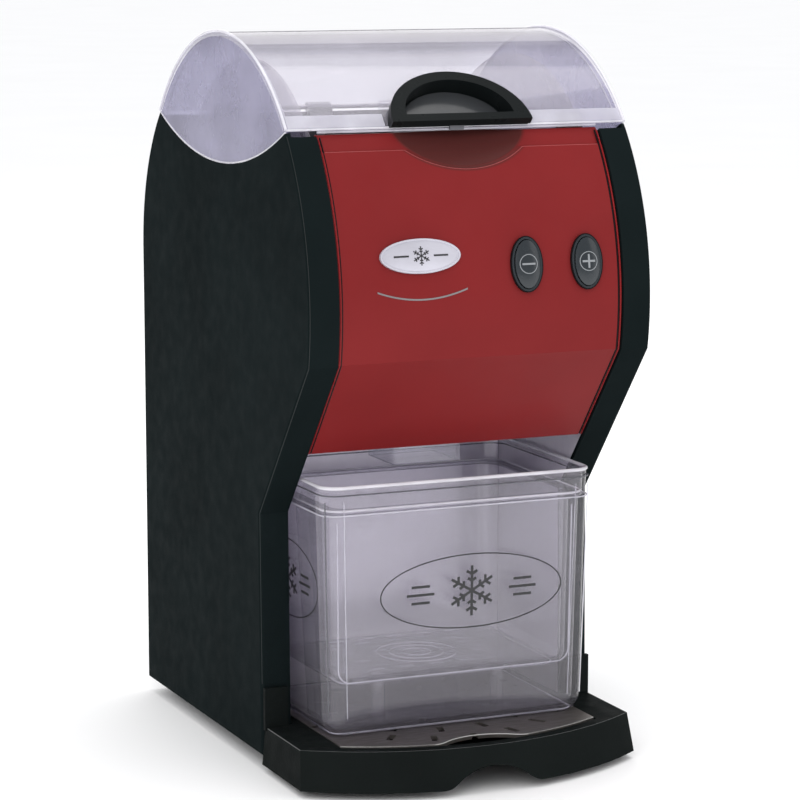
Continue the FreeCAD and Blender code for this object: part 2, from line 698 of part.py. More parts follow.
def bell(name, half, foot, high, shoulder, height):
    """A finger notch, drawn in plan: a round arch that runs out into rounded shoulders."""
    turn = 2 * math.atan(high / half)
    arch = half / math.sin(turn) - shoulder
    side = half - shoulder * math.sin(turn)
    level = foot + shoulder * (1 - math.cos(turn))
    right, left = FreeCAD.Vector(half, foot, 0), FreeCAD.Vector(-half, foot, 0)
    high_right, high_left = FreeCAD.Vector(side, level, 0), FreeCAD.Vector(-side, level, 0)
    low_left, low_right = FreeCAD.Vector(-half, foot - 30, 0), FreeCAD.Vector(half, foot - 30, 0)
    edges = [Part.makeLine(low_left, low_right), Part.makeLine(low_right, right)]
    for start, end, radius, bulge in ((right, high_right, shoulder, 1), (high_right, high_left, arch, -1),
                                      (high_left, left, shoulder, 1)):
        edges.append(Part.Arc(start, arc_middle(start, end, radius, bulge), end).toShape())
    edges.append(Part.makeLine(left, low_left))
    block = doc.addObject("Part::Feature", name)
    block.Shape = Part.Face(Part.Wire(edges)).extrude(FreeCAD.Vector(0, 0, height))
    return block


def drip_tray():
    """A shallow tray: a bowed front that leans out at its foot, a basin and a finger notch."""
    front = new_body("tray_front")
    join = size("tray_join")
    foot = add_sketch(front, "XY", size("tray_foot"),
                      [bowed(size("tray_half"), join, size("tray_corner"), size("tray_radius"))])
    lip = add_sketch(front, "XY", size("tray_top"),
                     [bowed(size("tray_lip_half"), join, size("tray_lip_corner"), size("tray_lip_radius"))])
    loft(front, "Additive", [foot, lip])
    rear = box("tray_rear_block", (-size("tray_rear_half"), join - 2, size("tray_under")),
               (size("tray_rear_half"), size("tray_rear"), size("tray_top")))
    under = new_body("tray_underside")
    pad(under, "XY", 0, size("tray_under"),
        [bowed(size("tray_half") - 4, join + 1, size("tray_corner") + 4, size("tray_radius") - 4)])
    basin = new_body("tray_basin")
    pad(basin, "XY", size("tray_floor"), 30,
        [bowed(size("grille_half") - 3, size("grille_back") - 3, size("grille_corner") + 3,
               size("grille_radius") - 3)])
    ledge = new_body("tray_ledge")
    pad(ledge, "XY", size("grille_top") - size("grille_thick"), 20,
        [bowed(size("grille_half") + 0.5, size("grille_back") + 0.5, size("grille_corner") - 3,
               size("grille_radius") + 3)])
    notch = place(bell("tray_notch", SIZES["notch_half"], SIZES["tray_foot"], SIZES["notch_high"],
                       SIZES["notch_shoulder"], 33), 0, -137, 0, 90)
    ears = [box(f"tray_ear_{side}", (low, size("ear_front"), 26), (high, size("ear_back"), size("ear_top")))
            for side, low, high in (("left", -size("ear_out"), -size("ear_in")),
                                    ("right", size("ear_in"), size("ear_out")))]
    node("drip_tray", cut("drip_tray_cut", fuse("tray_all", front, rear, *ears), under, basin, ledge, notch))


def drip_grille():
    """The plate over the tray: a bowed front edge with a finger cut-out, and rows of slots."""
    body = new_body("drip_grille_body")
    low = size("grille_top") - size("grille_thick")
    pad(body, "XY", low, size("grille_thick"),
        [bowed(size("grille_half"), size("grille_back"), size("grille_corner"), size("grille_radius"))])
    cutout = place(bell("grille_cutout", SIZES["cutout_half"], SIZES["cutout_foot"],
                        SIZES["cutout_high"], SIZES["notch_shoulder"], 20), 0, 0, 20)
    slots = []
    for reach, count, turn in ((34, 8, 22.5), (56, 14, 0), (76, 9, 0)):
        for index in range(count):
            angle = 360 / count * index + turn if reach < 70 else 197 + 18.25 * index
            slots.append(grille_slot(f"grille_slot_{reach}_{index}", reach, angle))
    for side in (-1, 1):
        for index in range(4):
            slots.append(rod(f"grille_hole_{side + 1}_{index}", "Z",
                             (side * 72, 14 - 14.5 * index, 20), 20, 2.6))
    node("drip_grille", cut("drip_grille_cut", body, cutout, *slots))


def grille_slot(name, reach, angle):
    """A short radial slot about the bay's middle, 11 long and 4 wide."""
    slot = doc.addObject("Part::Box", name)
    slot.Length = 11
    slot.Width = 4
    slot.Height = 10
    turn = FreeCAD.Rotation(FreeCAD.Vector(0, 0, 1), angle)
    corner = turn.multVec(FreeCAD.Vector(reach, -2, 0)).add(FreeCAD.Vector(0, -46, 22))
    slot.Placement = FreeCAD.Placement(corner, turn)
    return slot


def rounded(half, front, back, corner):
    """A plan rectangle with rounded corners."""
    return [(-half + corner, front), (half - corner, front), Bend(corner, -1), (half, front + corner),
            (half, back - corner), Bend(corner, -1), (half - corner, back),
            (-half + corner, back), Bend(corner, -1), (-half, back - corner),
            (-half, front + corner), Bend(corner, -1)]


def tub(name, foot_z, top_z, foot_half, top_half, front, back, corner, round_foot):
    """A solid tub whose sides lean out evenly from a rounded foot; front and back are at the foot."""
    body = new_body(name)
    height = number_of(top_z) - number_of(foot_z)
    feature = pad(body, "XY", foot_z, top_z - foot_z, [rounded(foot_half, front, back, corner)])
    feature.TaperAngle = math.degrees(math.atan((number_of(top_half) - number_of(foot_half)) / height))
    round_edges(body, round_foot, lambda edge: edge.BoundBox.ZMax < number_of(foot_z) + 0.01)
    return body


def ice_bin():
    """The clear outer bin, with the lip that carries the basket's flange."""
    wall = size("bin_wall")
    lean = size("bin_half") - size("bin_foot_half")
    front = size("bin_front") + lean
    back = size("bin_back") - lean
    foot_half = size("bin_foot_half")
    outer = tub("bin_outer", size("bin_foot"), size("bin_top"), foot_half, size("bin_half"),
                front, back, 11, 9)
    inset = wall + 1
    inner = tub("bin_inner", size("bin_foot") + wall, size("bin_top") + 1, foot_half - inset,
                size("bin_half") - inset, front + inset, back - inset, 8, 6)
    shelf = size("flange_z") - 2.7
    mouth = tub("bin_mouth", shelf, size("bin_top") + 2, size("bin_half") - wall + 0.4,
                size("bin_half") - wall + 0.8, size("bin_front") + wall - 0.4,
                size("bin_back") - wall + 0.4, 12, 0.4)
    node("ice_bin", cut("ice_bin_cut", outer, inner, mouth))


def ice_basket():
    """The clear inner basket: a flange on the bin's lip, a perforated floor and four legs."""
    wall = size("basket_wall")
    foot = size("basket_foot")
    half = size("basket_foot_half")
    front = size("basket_front") + 2
    back = size("basket_back") - 2
    outer = tub("basket_outer", foot, size("flange_z"), half, size("basket_half"), front, back, 11, 8)
    flange = new_body("basket_flange")
    pad(flange, "XY", size("flange_z") - 2.4, 2.4,
        [rounded(size("bin_half") - 3.4, size("bin_front") + 3.4, size("bin_back") - 3.4, 11)])
    inner = tub("basket_inner", foot + wall, size("flange_z") + 1, half - wall,
                size("basket_half") - wall, front + wall, back - wall, 9, 6)
    leg_foot = size("bin_foot") + size("bin_wall") + 0.3
    legs = [rod(f"basket_leg_{side}_{row}", "Z", (x, size(row), leg_foot), 28, size("leg_radius"))
            for side, x in (("left", -size("leg_x")), ("right", size("leg_x")))
            for row in ("leg_front", "leg_back")]
    drains = [box(f"basket_drain_{column}_{row}", (-61 + 20 * column, -84 + 22 * row, 50),
                  (-51 + 20 * column, -81 + 22 * row, 70)) for column in range(6) for row in range(5)]
    node("ice_basket", cut("ice_basket_cut", fuse("basket_all", outer, flange, *legs), inner, *drains))


# ---- crusher and drive ----------------------------------------------------------------------

def ends(low, high, wall):
    """The corners of a square hole through a block, with a wall left all round."""
    return ((low[0] + wall, low[1] + wall, low[2] - 1), (high[0] - wall, high[1] - wall, high[2] + 1))


HOUSING_SCREWS = [(x, z) for x in (-45, -8) for z in (232, 280)]


def crusher_housing():
    """The box round the drum, open above and below, and the two shaft bearings in its sides."""
    half = size("house_half")
    low = (-half, size("house_front"), size("house_foot"))
    high = (half, size("house_back"), size("house_top"))
    hollow = box("house_hollow", *ends(low, high, size("house_wall")))
    seats = rod("bearing_seats", "X", (-80, size("drum_y"), size("drum_z")), 160, 12.05)
    holes = [rod(f"housing_hole_{index}", "Y", (x, 20, z), 25, 2.1)
             for index, (x, z) in enumerate(HOUSING_SCREWS)]
    node("crusher_housing", cut("crusher_housing_cut", box("house_block", low, high), hollow, seats, *holes))
    bearings = []
    for side, start in (("left", -half - 3), ("right", half - size("house_wall"))):
        race = rod(f"bearing_race_{side}", "X", (start, size("drum_y"), size("drum_z")), 7, 12)
        bore = rod(f"bearing_bore_{side}", "X", (-90, size("drum_y"), size("drum_z")), 180,
                   size("shaft_radius") + size("running"))
        bearings.append(cut(f"bearing_{side}", race, bore))
    node("drum_bearings", group("bearings_group", *bearings))


def blade(name, x, angle):
    """A bar through the drum; its two ends are opposite blades."""
    bar = doc.addObject("Part::Box", name)
    bind(bar, "Length", size("blade_thick"))
    bind(bar, "Width", size("blade_wide"))
    bind(bar, "Height", size("blade_tip") * 2)
    turn = FreeCAD.Rotation(FreeCAD.Vector(1, 0, 0), angle)
    corner = FreeCAD.Vector(x - SIZES["blade_thick"] / 2, -SIZES["blade_wide"] / 2, -SIZES["blade_tip"])
    middle = FreeCAD.Vector(0, SIZES["drum_y"], SIZES["drum_z"])
    bar.Placement = FreeCAD.Placement(turn.multVec(corner).add(middle), turn)
    return bar


BLADE_TURN = 18


def crushing_drum():
    """A core with five rows of four blades, each row turned on from the last, on its shaft."""
    y, z = size("drum_y"), size("drum_z")
    node("drum_shaft", rod("drum_shaft_rod", "X", (-64, y, z), 141, size("shaft_radius")))
    parts = [rod("drum_core_rod", "X", (-48, y, z), 96, size("drum_core"))]
    for row in range(5):
        for bar in range(2):
            spot = (row - 2) * SIZES["blade_pitch"]
            parts.append(blade(f"blade_{row}_{bar}", spot, row * BLADE_TURN + bar * 90))
    tips = rod("drum_tips", "X", (-50, y, z), 100, size("blade_tip"))
    bore = rod("drum_core_bore", "X", (-60, y, z), 120, size("shaft_radius") + 0.03)
    turned = common("drum_round", fuse("drum_all", *parts), tips)
    node("crushing_drum", cut("crushing_drum_cut", turned, bore))


def fixed_comb():
    """The fixed teeth that the blades pass between, on a rail on the housing's rear wall."""
    back = size("house_back") - size("house_wall") - 0.05
    rail = box("comb_rail", (-53.9, back - 5.5, 240), (53.9, back, 264))
    middles = [(row - 1.5) * SIZES["blade_pitch"] for row in range(4)]
    teeth = [box(f"comb_tooth_{index}", (x - 3, 12.5, 244), (x + 3, back - 5, 258))
             for index, x in enumerate(middles)]
    node("fixed_comb", fuse("comb_all", rail, *teeth))


def housing_screws():
    """Screws and nuts that hold the housing against the bracket's upright."""
    screws = []
    for index, (x, z) in enumerate(HOUSING_SCREWS):
        head = rod(f"housing_head_{index}", "Y", (x, 30.5, z), 2.5, 3.6)
        shank = rod(f"housing_shank_{index}", "Y", (x, 31, z), 13, 2)
        nut = rod(f"housing_nut_{index}", "Y", (x, 40.2, z), 3, 3.6)
        screws.append(fuse(f"housing_screw_{index}", head, shank, nut))
    node("housing_screws", group("housing_screws_group", *screws))


def discharge_chute():
    """A funnel under the housing that ends in a square spout over the bin."""
    body = new_body("chute_body")
    wall = 2
    neck = size("bay_top") + 3
    top = size("house_foot") - 0.1

    def section(z, inset, half, front, back):
        return add_sketch(body, "XY", z, [[
            (-half + inset, front + inset), (half - inset, front + inset),
            (half - inset, back - inset), (-half + inset, back - inset)]])

    rim = (size("house_half"), size("house_front"), size("house_back"))
    mouth = (size("chute_half"), size("chute_front"), size("chute_back"))
    loft(body, "Additive", [section(top, 0, *rim), section(neck, 0, *mouth)])
    loft(body, "Additive", [section(neck, 0, *mouth), section(size("chute_foot"), 0, *mouth)])
    loft(body, "Subtractive", [section(top, size("house_wall"), *rim), section(neck, wall, *mouth)])
    loft(body, "Subtractive", [section(neck, wall, *mouth), section(size("chute_foot"), wall, *mouth)])
    node("discharge_chute", body)


def involute(radius, base):
    """How far an involute flank has turned by a radius, in radians."""
    slope = math.sqrt(max((radius / base) ** 2 - 1, 0))
    return slope - math.atan(slope)


def gear(name, teeth, y, z, phase, bore):
    """A spur gear on an axis along X, with one tooth's middle at the phase angle from +Y."""
    module = SIZES["gear_module"]
    pitch = module * teeth / 2
    base = pitch * math.cos(math.radians(20))
    root, tip = pitch - 1.25 * module, pitch + module
    backlash = 0.25 / (2 * pitch)
    half = math.pi / (2 * teeth) + involute(pitch, base) - backlash
    foot = max(root, base)
    radii = [foot + (tip - foot) * step / 4 for step in range(5)]
    points = []
    for tooth in range(teeth):
        middle = math.radians(phase) + 2 * math.pi * tooth / teeth
        flank = [(radius, half - involute(radius, base)) for radius in radii]
        if root < foot - 0.01:
            flank.insert(0, (root, flank[0][1]))
        for radius, turn in [(r, -t) for r, t in flank] + list(reversed(flank)):
            points.append(FreeCAD.Vector(
                0, radius * math.cos(middle + turn), radius * math.sin(middle + turn)))
    face = Part.Face(Part.makePolygon(points + [points[0]]))
    disc = face.extrude(FreeCAD.Vector(SIZES["gear_wide"], 0, 0))
    hole = Part.makeCylinder(bore, 40, FreeCAD.Vector(-10, 0, 0), FreeCAD.Vector(1, 0, 0))
    item = doc.addObject("Part::Feature", name + "_shape")
    item.Shape = disc.cut(hole)
    return node(name, place(item, size("gear_x"), y, z))


GEARBOX_SCREWS = [(x, y) for x in (20, 48) for y in (62, 104)]


def drive():
    """The drum's gear, and the gearmotor with its pinion on a steel bracket."""
    lean = math.radians(SIZES["gear_lean"])
    reach = size("gear_module") * ((GEAR_TEETH + PINION_TEETH) / 2)
    y = size("drum_y") + reach * math.cos(lean)
    z = size("drum_z") - reach * math.sin(lean)
    gear("drum_gear", GEAR_TEETH, size("drum_y"), size("drum_z"), -SIZES["gear_lean"],
         SIZES["shaft_radius"] + 0.03)
    gear("motor_pinion", PINION_TEETH, y, z, 180 - SIZES["gear_lean"] + 180 / PINION_TEETH,
         SIZES["motor_shaft"] + 0.03)
    node("motor_shaft", rod("motor_shaft_rod", "X", (40, y, z), 35, size("motor_shaft")))
    case = box("gearbox_case", (10.1, 41, 214), (57, 116, 292))
    boss = rod("gearbox_boss", "X", (50, y, z), 9, 12)
    bore = rod("gearbox_bore", "X", (39, y, z), 30, size("motor_shaft") + size("running"))
    screw_holes = [rod(f"gearbox_hole_{index}", "Z", (x, along, 200), 22, 2.05)
                   for index, (x, along) in enumerate(GEARBOX_SCREWS)]
    node("motor_gearbox", cut("gearbox_cut", fuse("gearbox_all", case, boss), bore, *screw_holes))
    middle = (size("motor_y"), size("drum_z"))
    node("motor_housing", rod("motor_can", "X", (-68, *middle), 78, size("motor_radius")))
    cap = rod("motor_cap_disc", "X", (-80, *middle), 11.9, size("motor_radius") - 2)
    vents = []
    for index in range(6):
        angle = math.radians(60 * index)
        vents.append(rod(f"motor_vent_{index}", "X", (-82, size("motor_y") + 20 * math.cos(angle),
                                                      size("drum_z") + 20 * math.sin(angle)), 8, 5))
    node("motor_end_cap", cut("motor_cap_cut", cap, *vents))


def motor_bracket():
    """A folded steel bridge over the electrics, with an upright for the crusher housing."""
    front = size("bay_back") + size("plate") + 0.1
    rear = 119
    wall = size("bracket_wall")
    foot, deck, top = 12.1, 213.9, 286
    body = new_body("bracket_body")
    pad(body, "YZ", -62, 118, [[
        (front, foot), (front + wall, foot), (front + wall, deck - wall), (rear - wall, deck - wall),
        (rear - wall, foot), (rear, foot), (rear, deck), (front + wall, deck), (front + wall, top),
        (front, top)]])
    window = box("bracket_window", (-45, 30, 40), (40, 130, 190))
    housing_holes = [rod(f"bracket_hole_{index}", "Y", (x, 30, z), 25, 2.1)
                     for index, (x, z) in enumerate(HOUSING_SCREWS)]
    gearbox_holes = [rod(f"deck_hole_{index}", "Z", (x, y, 200), 22, 2.1)
                     for index, (x, y) in enumerate(GEARBOX_SCREWS)]
    node("motor_bracket", cut("bracket_cut", body, window, *housing_holes, *gearbox_holes))
    screws = []
    for index, (x, y) in enumerate(GEARBOX_SCREWS):
        head = rod(f"gearbox_head_{index}", "Z", (x, y, 208.4), 2.4, 3.6)
        shank = rod(f"gearbox_shank_{index}", "Z", (x, y, 209), 12, 2)
        screws.append(fuse(f"gearbox_screw_{index}", head, shank))
    node("gearbox_screws", group("gearbox_screws_group", *screws))
    block = box("saddle_block", (-50, 56, deck + 0.05), (-28, 104, deck + 26))
    can = rod("saddle_can", "X", (-60, size("motor_y"), size("drum_z")), 50, size("motor_radius") + 0.05)
    node("motor_saddle", cut("saddle_cut", block, can))


def electrics():
    """The run capacitor in its clamp, and the power board on its spacers."""
    node("run_capacitor", rod("capacitor_can", "Z", (-53, 130, 96), 62, 9))
    block = box("clamp_block", (-64, 119.1, 118), (-42, 133, 130))
    seat = rod("clamp_seat", "Z", (-53, 130, 90), 80, 9.05)
    node("capacitor_clamp", cut("clamp_cut", block, seat))
    board = box("power_board_plate", (-40, 58, 20.1), (40, 110, 21.7))
    relay = box("power_relay", (-30, 70, 21), (-12, 98, 38))
    transformer = box("power_transformer", (4, 66, 21), (32, 96, 44))
    node("power_board", fuse("power_board_all", board, relay, transformer))
    spacers = [rod(f"board_spacer_{x + 36}_{y}", "Z", (x, y, 12.05), 8, 3)
               for x in (-36, 36) for y in (62, 106)]
    node("board_spacers", group("board_spacers_group", *spacers))


# ---- hopper ---------------------------------------------------------------------------------

def arch_centre():
    """The middle of the lid's curve in the side view."""
    half = (SIZES["lid_rear_y"] - SIZES["lid_front_y"]) / 2
    drop = math.sqrt(SIZES["roof_radius"] ** 2 - half ** 2)
    return SIZES["lid_front_y"] + half, SIZES["lid_z"] - drop


def hopper():
    """The ice hopper: a funnel, straight walls above it, and side walls arched under the lid."""
    body = new_body("hopper_body")
    wall = size("hopper_wall")

    def section(z, inset, half, front, back):
        return add_sketch(body, "XY", z, [[
            (-half + inset, front + inset), (half - inset, front + inset),
            (half - inset, back - inset), (-half + inset, back - inset)]])

    throat = (size("house_half"), size("house_front"), size("house_back"))
    mouth = (size("hopper_half"), size("hopper_front"), size("hopper_back"))
    foot, bend, lip = size("house_top") + 0.1, size("hopper_bend"), size("hopper_lip")
    loft(body, "Additive", [section(foot, 0, *throat), section(bend, 0, *mouth)])
    loft(body, "Additive", [section(bend, 0, *mouth), section(lip, 0, *mouth)])
    loft(body, "Subtractive", [section(foot, size("house_wall"), *throat), section(bend, wall, *mouth)])
    loft(body, "Subtractive", [section(bend, wall, *mouth), section(lip, wall, *mouth)])
    centre_y, centre_z = arch_centre()
    arches = []
    for side, low in (("left", -size("hopper_half")), ("right", size("hopper_half") - wall)):
        disc = rod(f"arch_disc_{side}", "X", (low, centre_y, centre_z), wall, size("arch_radius"))
        limits = box(f"arch_limits_{side}", (low - 1, size("hopper_front"), lip - 2),
                     (low + wall + 1, size("hopper_back"), 440))
        arches.append(common(f"arch_{side}", disc, limits))
    node("ice_hopper", fuse("hopper_all", body, *arches))


# ---- lid ------------------------------------------------------------------------------------

LID_KNUCKLES = [(-58, -44), (44, 58)]
FRAME_KNUCKLES = [(-74, -59), (-8, 8), (59, 74)]


def lid_roof():
    """The clear curved sheet, with hinge knuckles at the back and an opening for the grip."""
    body = new_body("roof_outer")
    edge = size("lid_z") + size("lid_gap")
    outline = [(size("lid_rear_y") - 0.4, edge), Bend(size("roof_radius"), -1),
               (size("lid_front_y") + 0.4, edge)]
    pad(body, "YZ", -size("half_width"), size("half_width") * 2, [outline])
    centre_y, centre_z = arch_centre()
    inner = rod("roof_inner", "X", (-120, centre_y, centre_z + SIZES["lid_gap"]), 240,
                size("roof_radius") - size("roof_wall"))
    axis = (size("hinge_y"), size("hinge_z"))
    knuckles = [rod(f"lid_knuckle_{low + 58}", "X", (low, *axis), high - low, size("knuckle"))
                for low, high in LID_KNUCKLES]
    slots = [rod(f"roof_slot_{low + 74}", "X", (low - 0.5, *axis), high - low + 1, size("knuckle") + 0.5)
             for low, high in FRAME_KNUCKLES]
    bore = rod("lid_knuckle_bore", "X", (-120, *axis), 240, size("hinge_rod") + size("running"))
    opening = grip_block("roof_opening", size("grip_half") - 5, size("grip_long") - 5, 3, -25, 50)
    roof = fuse("roof_all", cut("roof_sheet", body, inner), *knuckles)
    node("lid_roof", cut("lid_roof_cut", roof, bore, opening, *slots))


def lid_cheeks():
    """Lens-shaped end plates that close the lid above the shells' notches."""
    centre_y, centre_z = arch_centre()
    body = new_body("cheek_lens")
    edge = size("lid_z") + size("lid_gap")
    pad(body, "YZ", size("cheek_in"), size("cheek_out") - size("cheek_in"),
        [[(size("lid_rear_y") - 0.4, edge), Bend(size("roof_radius"), -1),
          (size("lid_front_y") + 0.4, edge), Bend(size("notch_radius"), -1)]])
    disc = rod("cheek_disc", "X", (0, centre_y, centre_z + SIZES["lid_gap"]), 120,
               size("roof_radius") - size("roof_wall") - 0.05)
    right = common("cheek_common", body, disc)
    node("right_lid_cheek", right)
    mirror("left_lid_cheek", right)


def grip_block(name, half, length, lift, start, height):
    """A half-oval block in the grip's leaning frame; lift moves its straight edge up the slope."""
    body = new_body(name)
    sketch = add_sketch(body, "XY", start)
    wide, high = number_of(half), number_of(length)
    middle = FreeCAD.Vector(0, lift, 0)
    right, left = FreeCAD.Vector(wide, lift, 0), FreeCAD.Vector(-wide, lift, 0)
    top = FreeCAD.Vector(0, lift + high, 0)
    curve = Part.Ellipse(right, top, middle) if wide >= high else Part.Ellipse(top, left, middle)
    sketch.addGeometry(Part.ArcOfEllipse(curve, curve.parameter(right), curve.parameter(left)))
    sketch.addGeometry(Part.LineSegment(left, right))
    feature = body.newObject("PartDesign::Pad", name + "_pad")
    feature.Profile = sketch
    bind(feature, "Length", height)
    return place(body, 0, size("grip_y"), size("grip_z"), SIZES["grip_tilt"])


def lid_handle():
    """A half-oval grip that sits on the roof, with a finger cup let in through it."""
    half, length, proud = size("grip_half"), size("grip_long"), SIZES["grip_proud"]
    centre_y, centre_z = arch_centre()
    roof = rod("grip_roof", "X", (-120, centre_y, centre_z + SIZES["lid_gap"]), 240,
               size("roof_radius") + 0.05)
    flange = cut("grip_flange", grip_block("grip_block", half, length, 0, -8, 8 + proud), roof)
    neck = grip_block("grip_neck", half - 5.3, length - 5.3, 3.3, -8.2, 8.2 + proud)
    hollow = grip_block("grip_hollow", half - 10.5, length - 12.2, 5.5, -5.6, 40)
    below = box("grip_below", (-60, -140, 360), (60, -80, size("lid_z") + size("lid_gap")))
    before = box("grip_before", (-60, -140, 380), (60, size("lid_front_y") + 0.4, size("lid_z") + 1.8))
    node("lid_handle", cut("lid_handle_cut", fuse("grip_all", flange, neck), hollow, below, before))


def hinge():
    """The hinge rod and its three brackets on the rear cover."""
    axis = (size("hinge_y"), size("hinge_z"))
    node("hinge_rod", rod("hinge_rod_shape", "X", (-75, *axis), 150, size("hinge_rod")))
    brackets = []
    straps = skin_band("hinge_straps", size("wall") + 0.05, 2.5, (-80, 105, 350), (80, 150, 389))
    for low, high in FRAME_KNUCKLES:
        barrel = rod(f"frame_knuckle_{low + 74}", "X", (low, *axis), high - low, size("knuckle"))
        strap = common(f"hinge_strap_{low + 74}", straps,
                       box(f"strap_limits_{low + 74}", (low, 105, 352), (high, 150, 388)))
        web = box(f"hinge_web_{low + 74}", (low, 115.5, 385), (high, 118.6, 388.9))
        brackets.append(fuse(f"hinge_bracket_{low + 74}", barrel, strap, web))
    bore = rod("bracket_bore", "X", (-120, *axis), 240, size("hinge_rod") + 0.03)
    node("hinge_brackets", cut("brackets_cut", group("brackets_group", *brackets), bore))


def interlock():
    """A magnet under the lid's front edge and the reed switch below it on the hopper."""
    centre_y, centre_z = arch_centre()
    block = box("magnet_block", (68, -95.4, 376), (84, -91.4, 400))
    under = rod("magnet_under", "X", (0, centre_y, centre_z + SIZES["lid_gap"]), 120,
                size("roof_radius") - size("roof_wall") - 0.05)
    node("lid_magnet", common("lid_magnet_cut", block, under))
    node("reed_switch", box("reed_switch_shape", (66, size("hopper_front") - 4.2, 356),
                            (86, size("hopper_front") - 0.1, 371.5)))


# ---- build, check and write -----------------------------------------------------------------

def build():
    side_shells()
    tie_rods()
    front_panel()
    buttons()
    badge()
    rear_cover()
    rear_rails()
    power_inlet()
    base()
    bay()
    drip_tray()
    drip_grille()
    ice_bin()
    ice_basket()
    crusher_housing()
    crushing_drum()
    fixed_comb()
    housing_screws()
    discharge_chute()
    drive()
    motor_bracket()
    electrics()
    hopper()
    lid_roof()
    lid_cheeks()
    lid_handle()
    hinge()
    interlock()
    doc.recompute()


def check_and_write():
    """Stop if any object failed or any shape is not a sound solid; then write one file a node."""
    failed = [f"{item.Name}: {item.State}" for item in doc.Objects
              if "Invalid" in item.State or "Error" in item.State]
    for name, item in NODES.items():
        shape = item.Shape
        if shape.isNull() or not shape.isValid() or not shape.Solids or shape.Volume <= 0:
            failed.append(f"{name}: no sound solid")
    if failed:
        raise RuntimeError("; ".join(failed))
    os.makedirs("parts", exist_ok=True)
    for name, item in NODES.items():
        item.Shape.exportStep(f"parts/{name}.step")
        print(name, len(item.Shape.Solids), round(item.Shape.Volume))


build()
check_and_write()
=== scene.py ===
import json
import math

import bpy
from mathutils import Matrix, Vector


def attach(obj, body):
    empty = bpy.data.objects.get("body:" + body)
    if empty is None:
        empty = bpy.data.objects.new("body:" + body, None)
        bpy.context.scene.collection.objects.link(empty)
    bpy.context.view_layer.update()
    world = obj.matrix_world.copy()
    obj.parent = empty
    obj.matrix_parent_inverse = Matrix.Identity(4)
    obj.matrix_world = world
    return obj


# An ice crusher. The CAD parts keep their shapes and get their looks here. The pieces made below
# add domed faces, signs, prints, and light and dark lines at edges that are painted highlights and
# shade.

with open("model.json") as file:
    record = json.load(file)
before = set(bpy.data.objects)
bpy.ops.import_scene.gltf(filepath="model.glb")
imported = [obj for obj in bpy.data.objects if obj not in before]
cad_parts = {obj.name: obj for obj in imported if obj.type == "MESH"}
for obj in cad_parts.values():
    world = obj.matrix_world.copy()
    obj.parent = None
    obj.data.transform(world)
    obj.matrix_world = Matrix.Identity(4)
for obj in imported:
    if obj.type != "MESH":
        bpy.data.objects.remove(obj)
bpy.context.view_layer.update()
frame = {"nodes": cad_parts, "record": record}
NODES = frame["nodes"]
MM = 0.001

# Sizes in millimetres, as in the CAD source. +X is the user's right and the front faces -Y.
HALF_WIDTH = 110
PANEL_ARC = (31.30, 285.31, 166.8)      # middle (y, z) and radius of the panel's face
PANEL_STEP = 378                        # height where the panel's face steps back
PANEL_RIM = {"top": 386, "tall": 128.6, "run_y": 47.318, "run_z": -58.115}  # arc, then a run
# The scoop's rim is a circle on the sloping face. slope is what the slope leaves of its height.
SCOOP_RIM = {"z": 416.5, "radius": 59.5, "slope": 0.8415}
ROOF_ARC = (9.75, 303.5, 140.6)         # middle (y, z) and radius of the lid's outer face
INNER_ARC = (9.75, 303.5, 137.8)        # the same for its inner face
NOTCH_ARC = (9.75, 622.2, 257.0)        # the same for the cheeks' lower edge
LID_FRONT, LID_REAR, LID_EDGE = -100.6, 120.1, 390.1    # front and rear y, height of the edge
LID_END, LID_SEAM, LID_LIP = 109.2, 106.2, 90   # x of the lid's end lines and of its lip's ends
LID_BORDER = (47, 108, 1.6, 8.5)        # x beside the grip and at the end, heights over the edge, of a band of painted highlight
CATCH = ((-6.5, -101.9, 388.6), (2.5, -100.2, 391.2))   # two opposite corners
# Tilted things have the angle and the place of their frame, then sizes in that frame.
GRIP = {"y": -103.5, "z": 391, "tilt": 43.6, "cup": 32.8, "long": 26.2, "lift": 5.8,
        "floor": -5.6}
BUTTON = {"tilt": 9, "y": -133.5, "z": 311, "high": 14.2, "wide": 8, "face": 2.6, "rise": 1.5,
          "bezel": 1.6, "sunk": 0.08}
KEYS = (("minus", "minus_key", 28.3), ("plus", "plus_key", 67.6))   # name, body, x
BEZEL_BAND = ((8.5, 14.7), (9.75, 15.95))           # half sizes of its inner and outer ovals
SIGN_RING = (5.35, 5.8)                             # inner and outer radius
SIGNS = {"minus": (4.2, 0.55), "plus": (4.1, 0.6)}  # half length and half thickness
SIGN_STEP = 0.3                                     # a sign's points are this close together
# border is how far the dome's edge stands in from the badge's, seat how far it lies under its face.
BADGE = {"tilt": 11.5, "x": -39.4, "y": -132.2, "z": 318.5, "high": 10.2, "wide": 25.4,
         "face": 1.6, "rise": 1.2, "border": 0.9, "seat": 0.2, "sunk": 0.05}
BADGE_RIM = {"inset": 0.7, "radius": 0.55}
BADGE_PRINT = {"flake": 5.6, "bar_x": 12.5, "bar": (4.6, 0.5)}
STRIPE = {"x": -38.5, "z": 293.6, "half": 28.5, "bow": 5.2, "thick": 0.5}
BIN = {"half": 88.8, "front": -106.2, "back": 28, "top": 180.2, "foot": 28.2, "lean": 3.6,
       "corner": 11, "shelf": 163.6}
BIN_PRINTS = (  # name, middle on the wall, half width and half height of the oval
    ("bin_front_print", (7.5, 111.5), 60.2, 23), ("bin_side_print", (44, 116.5), 48, 24.2))
BIN_FLAKE = 15.5
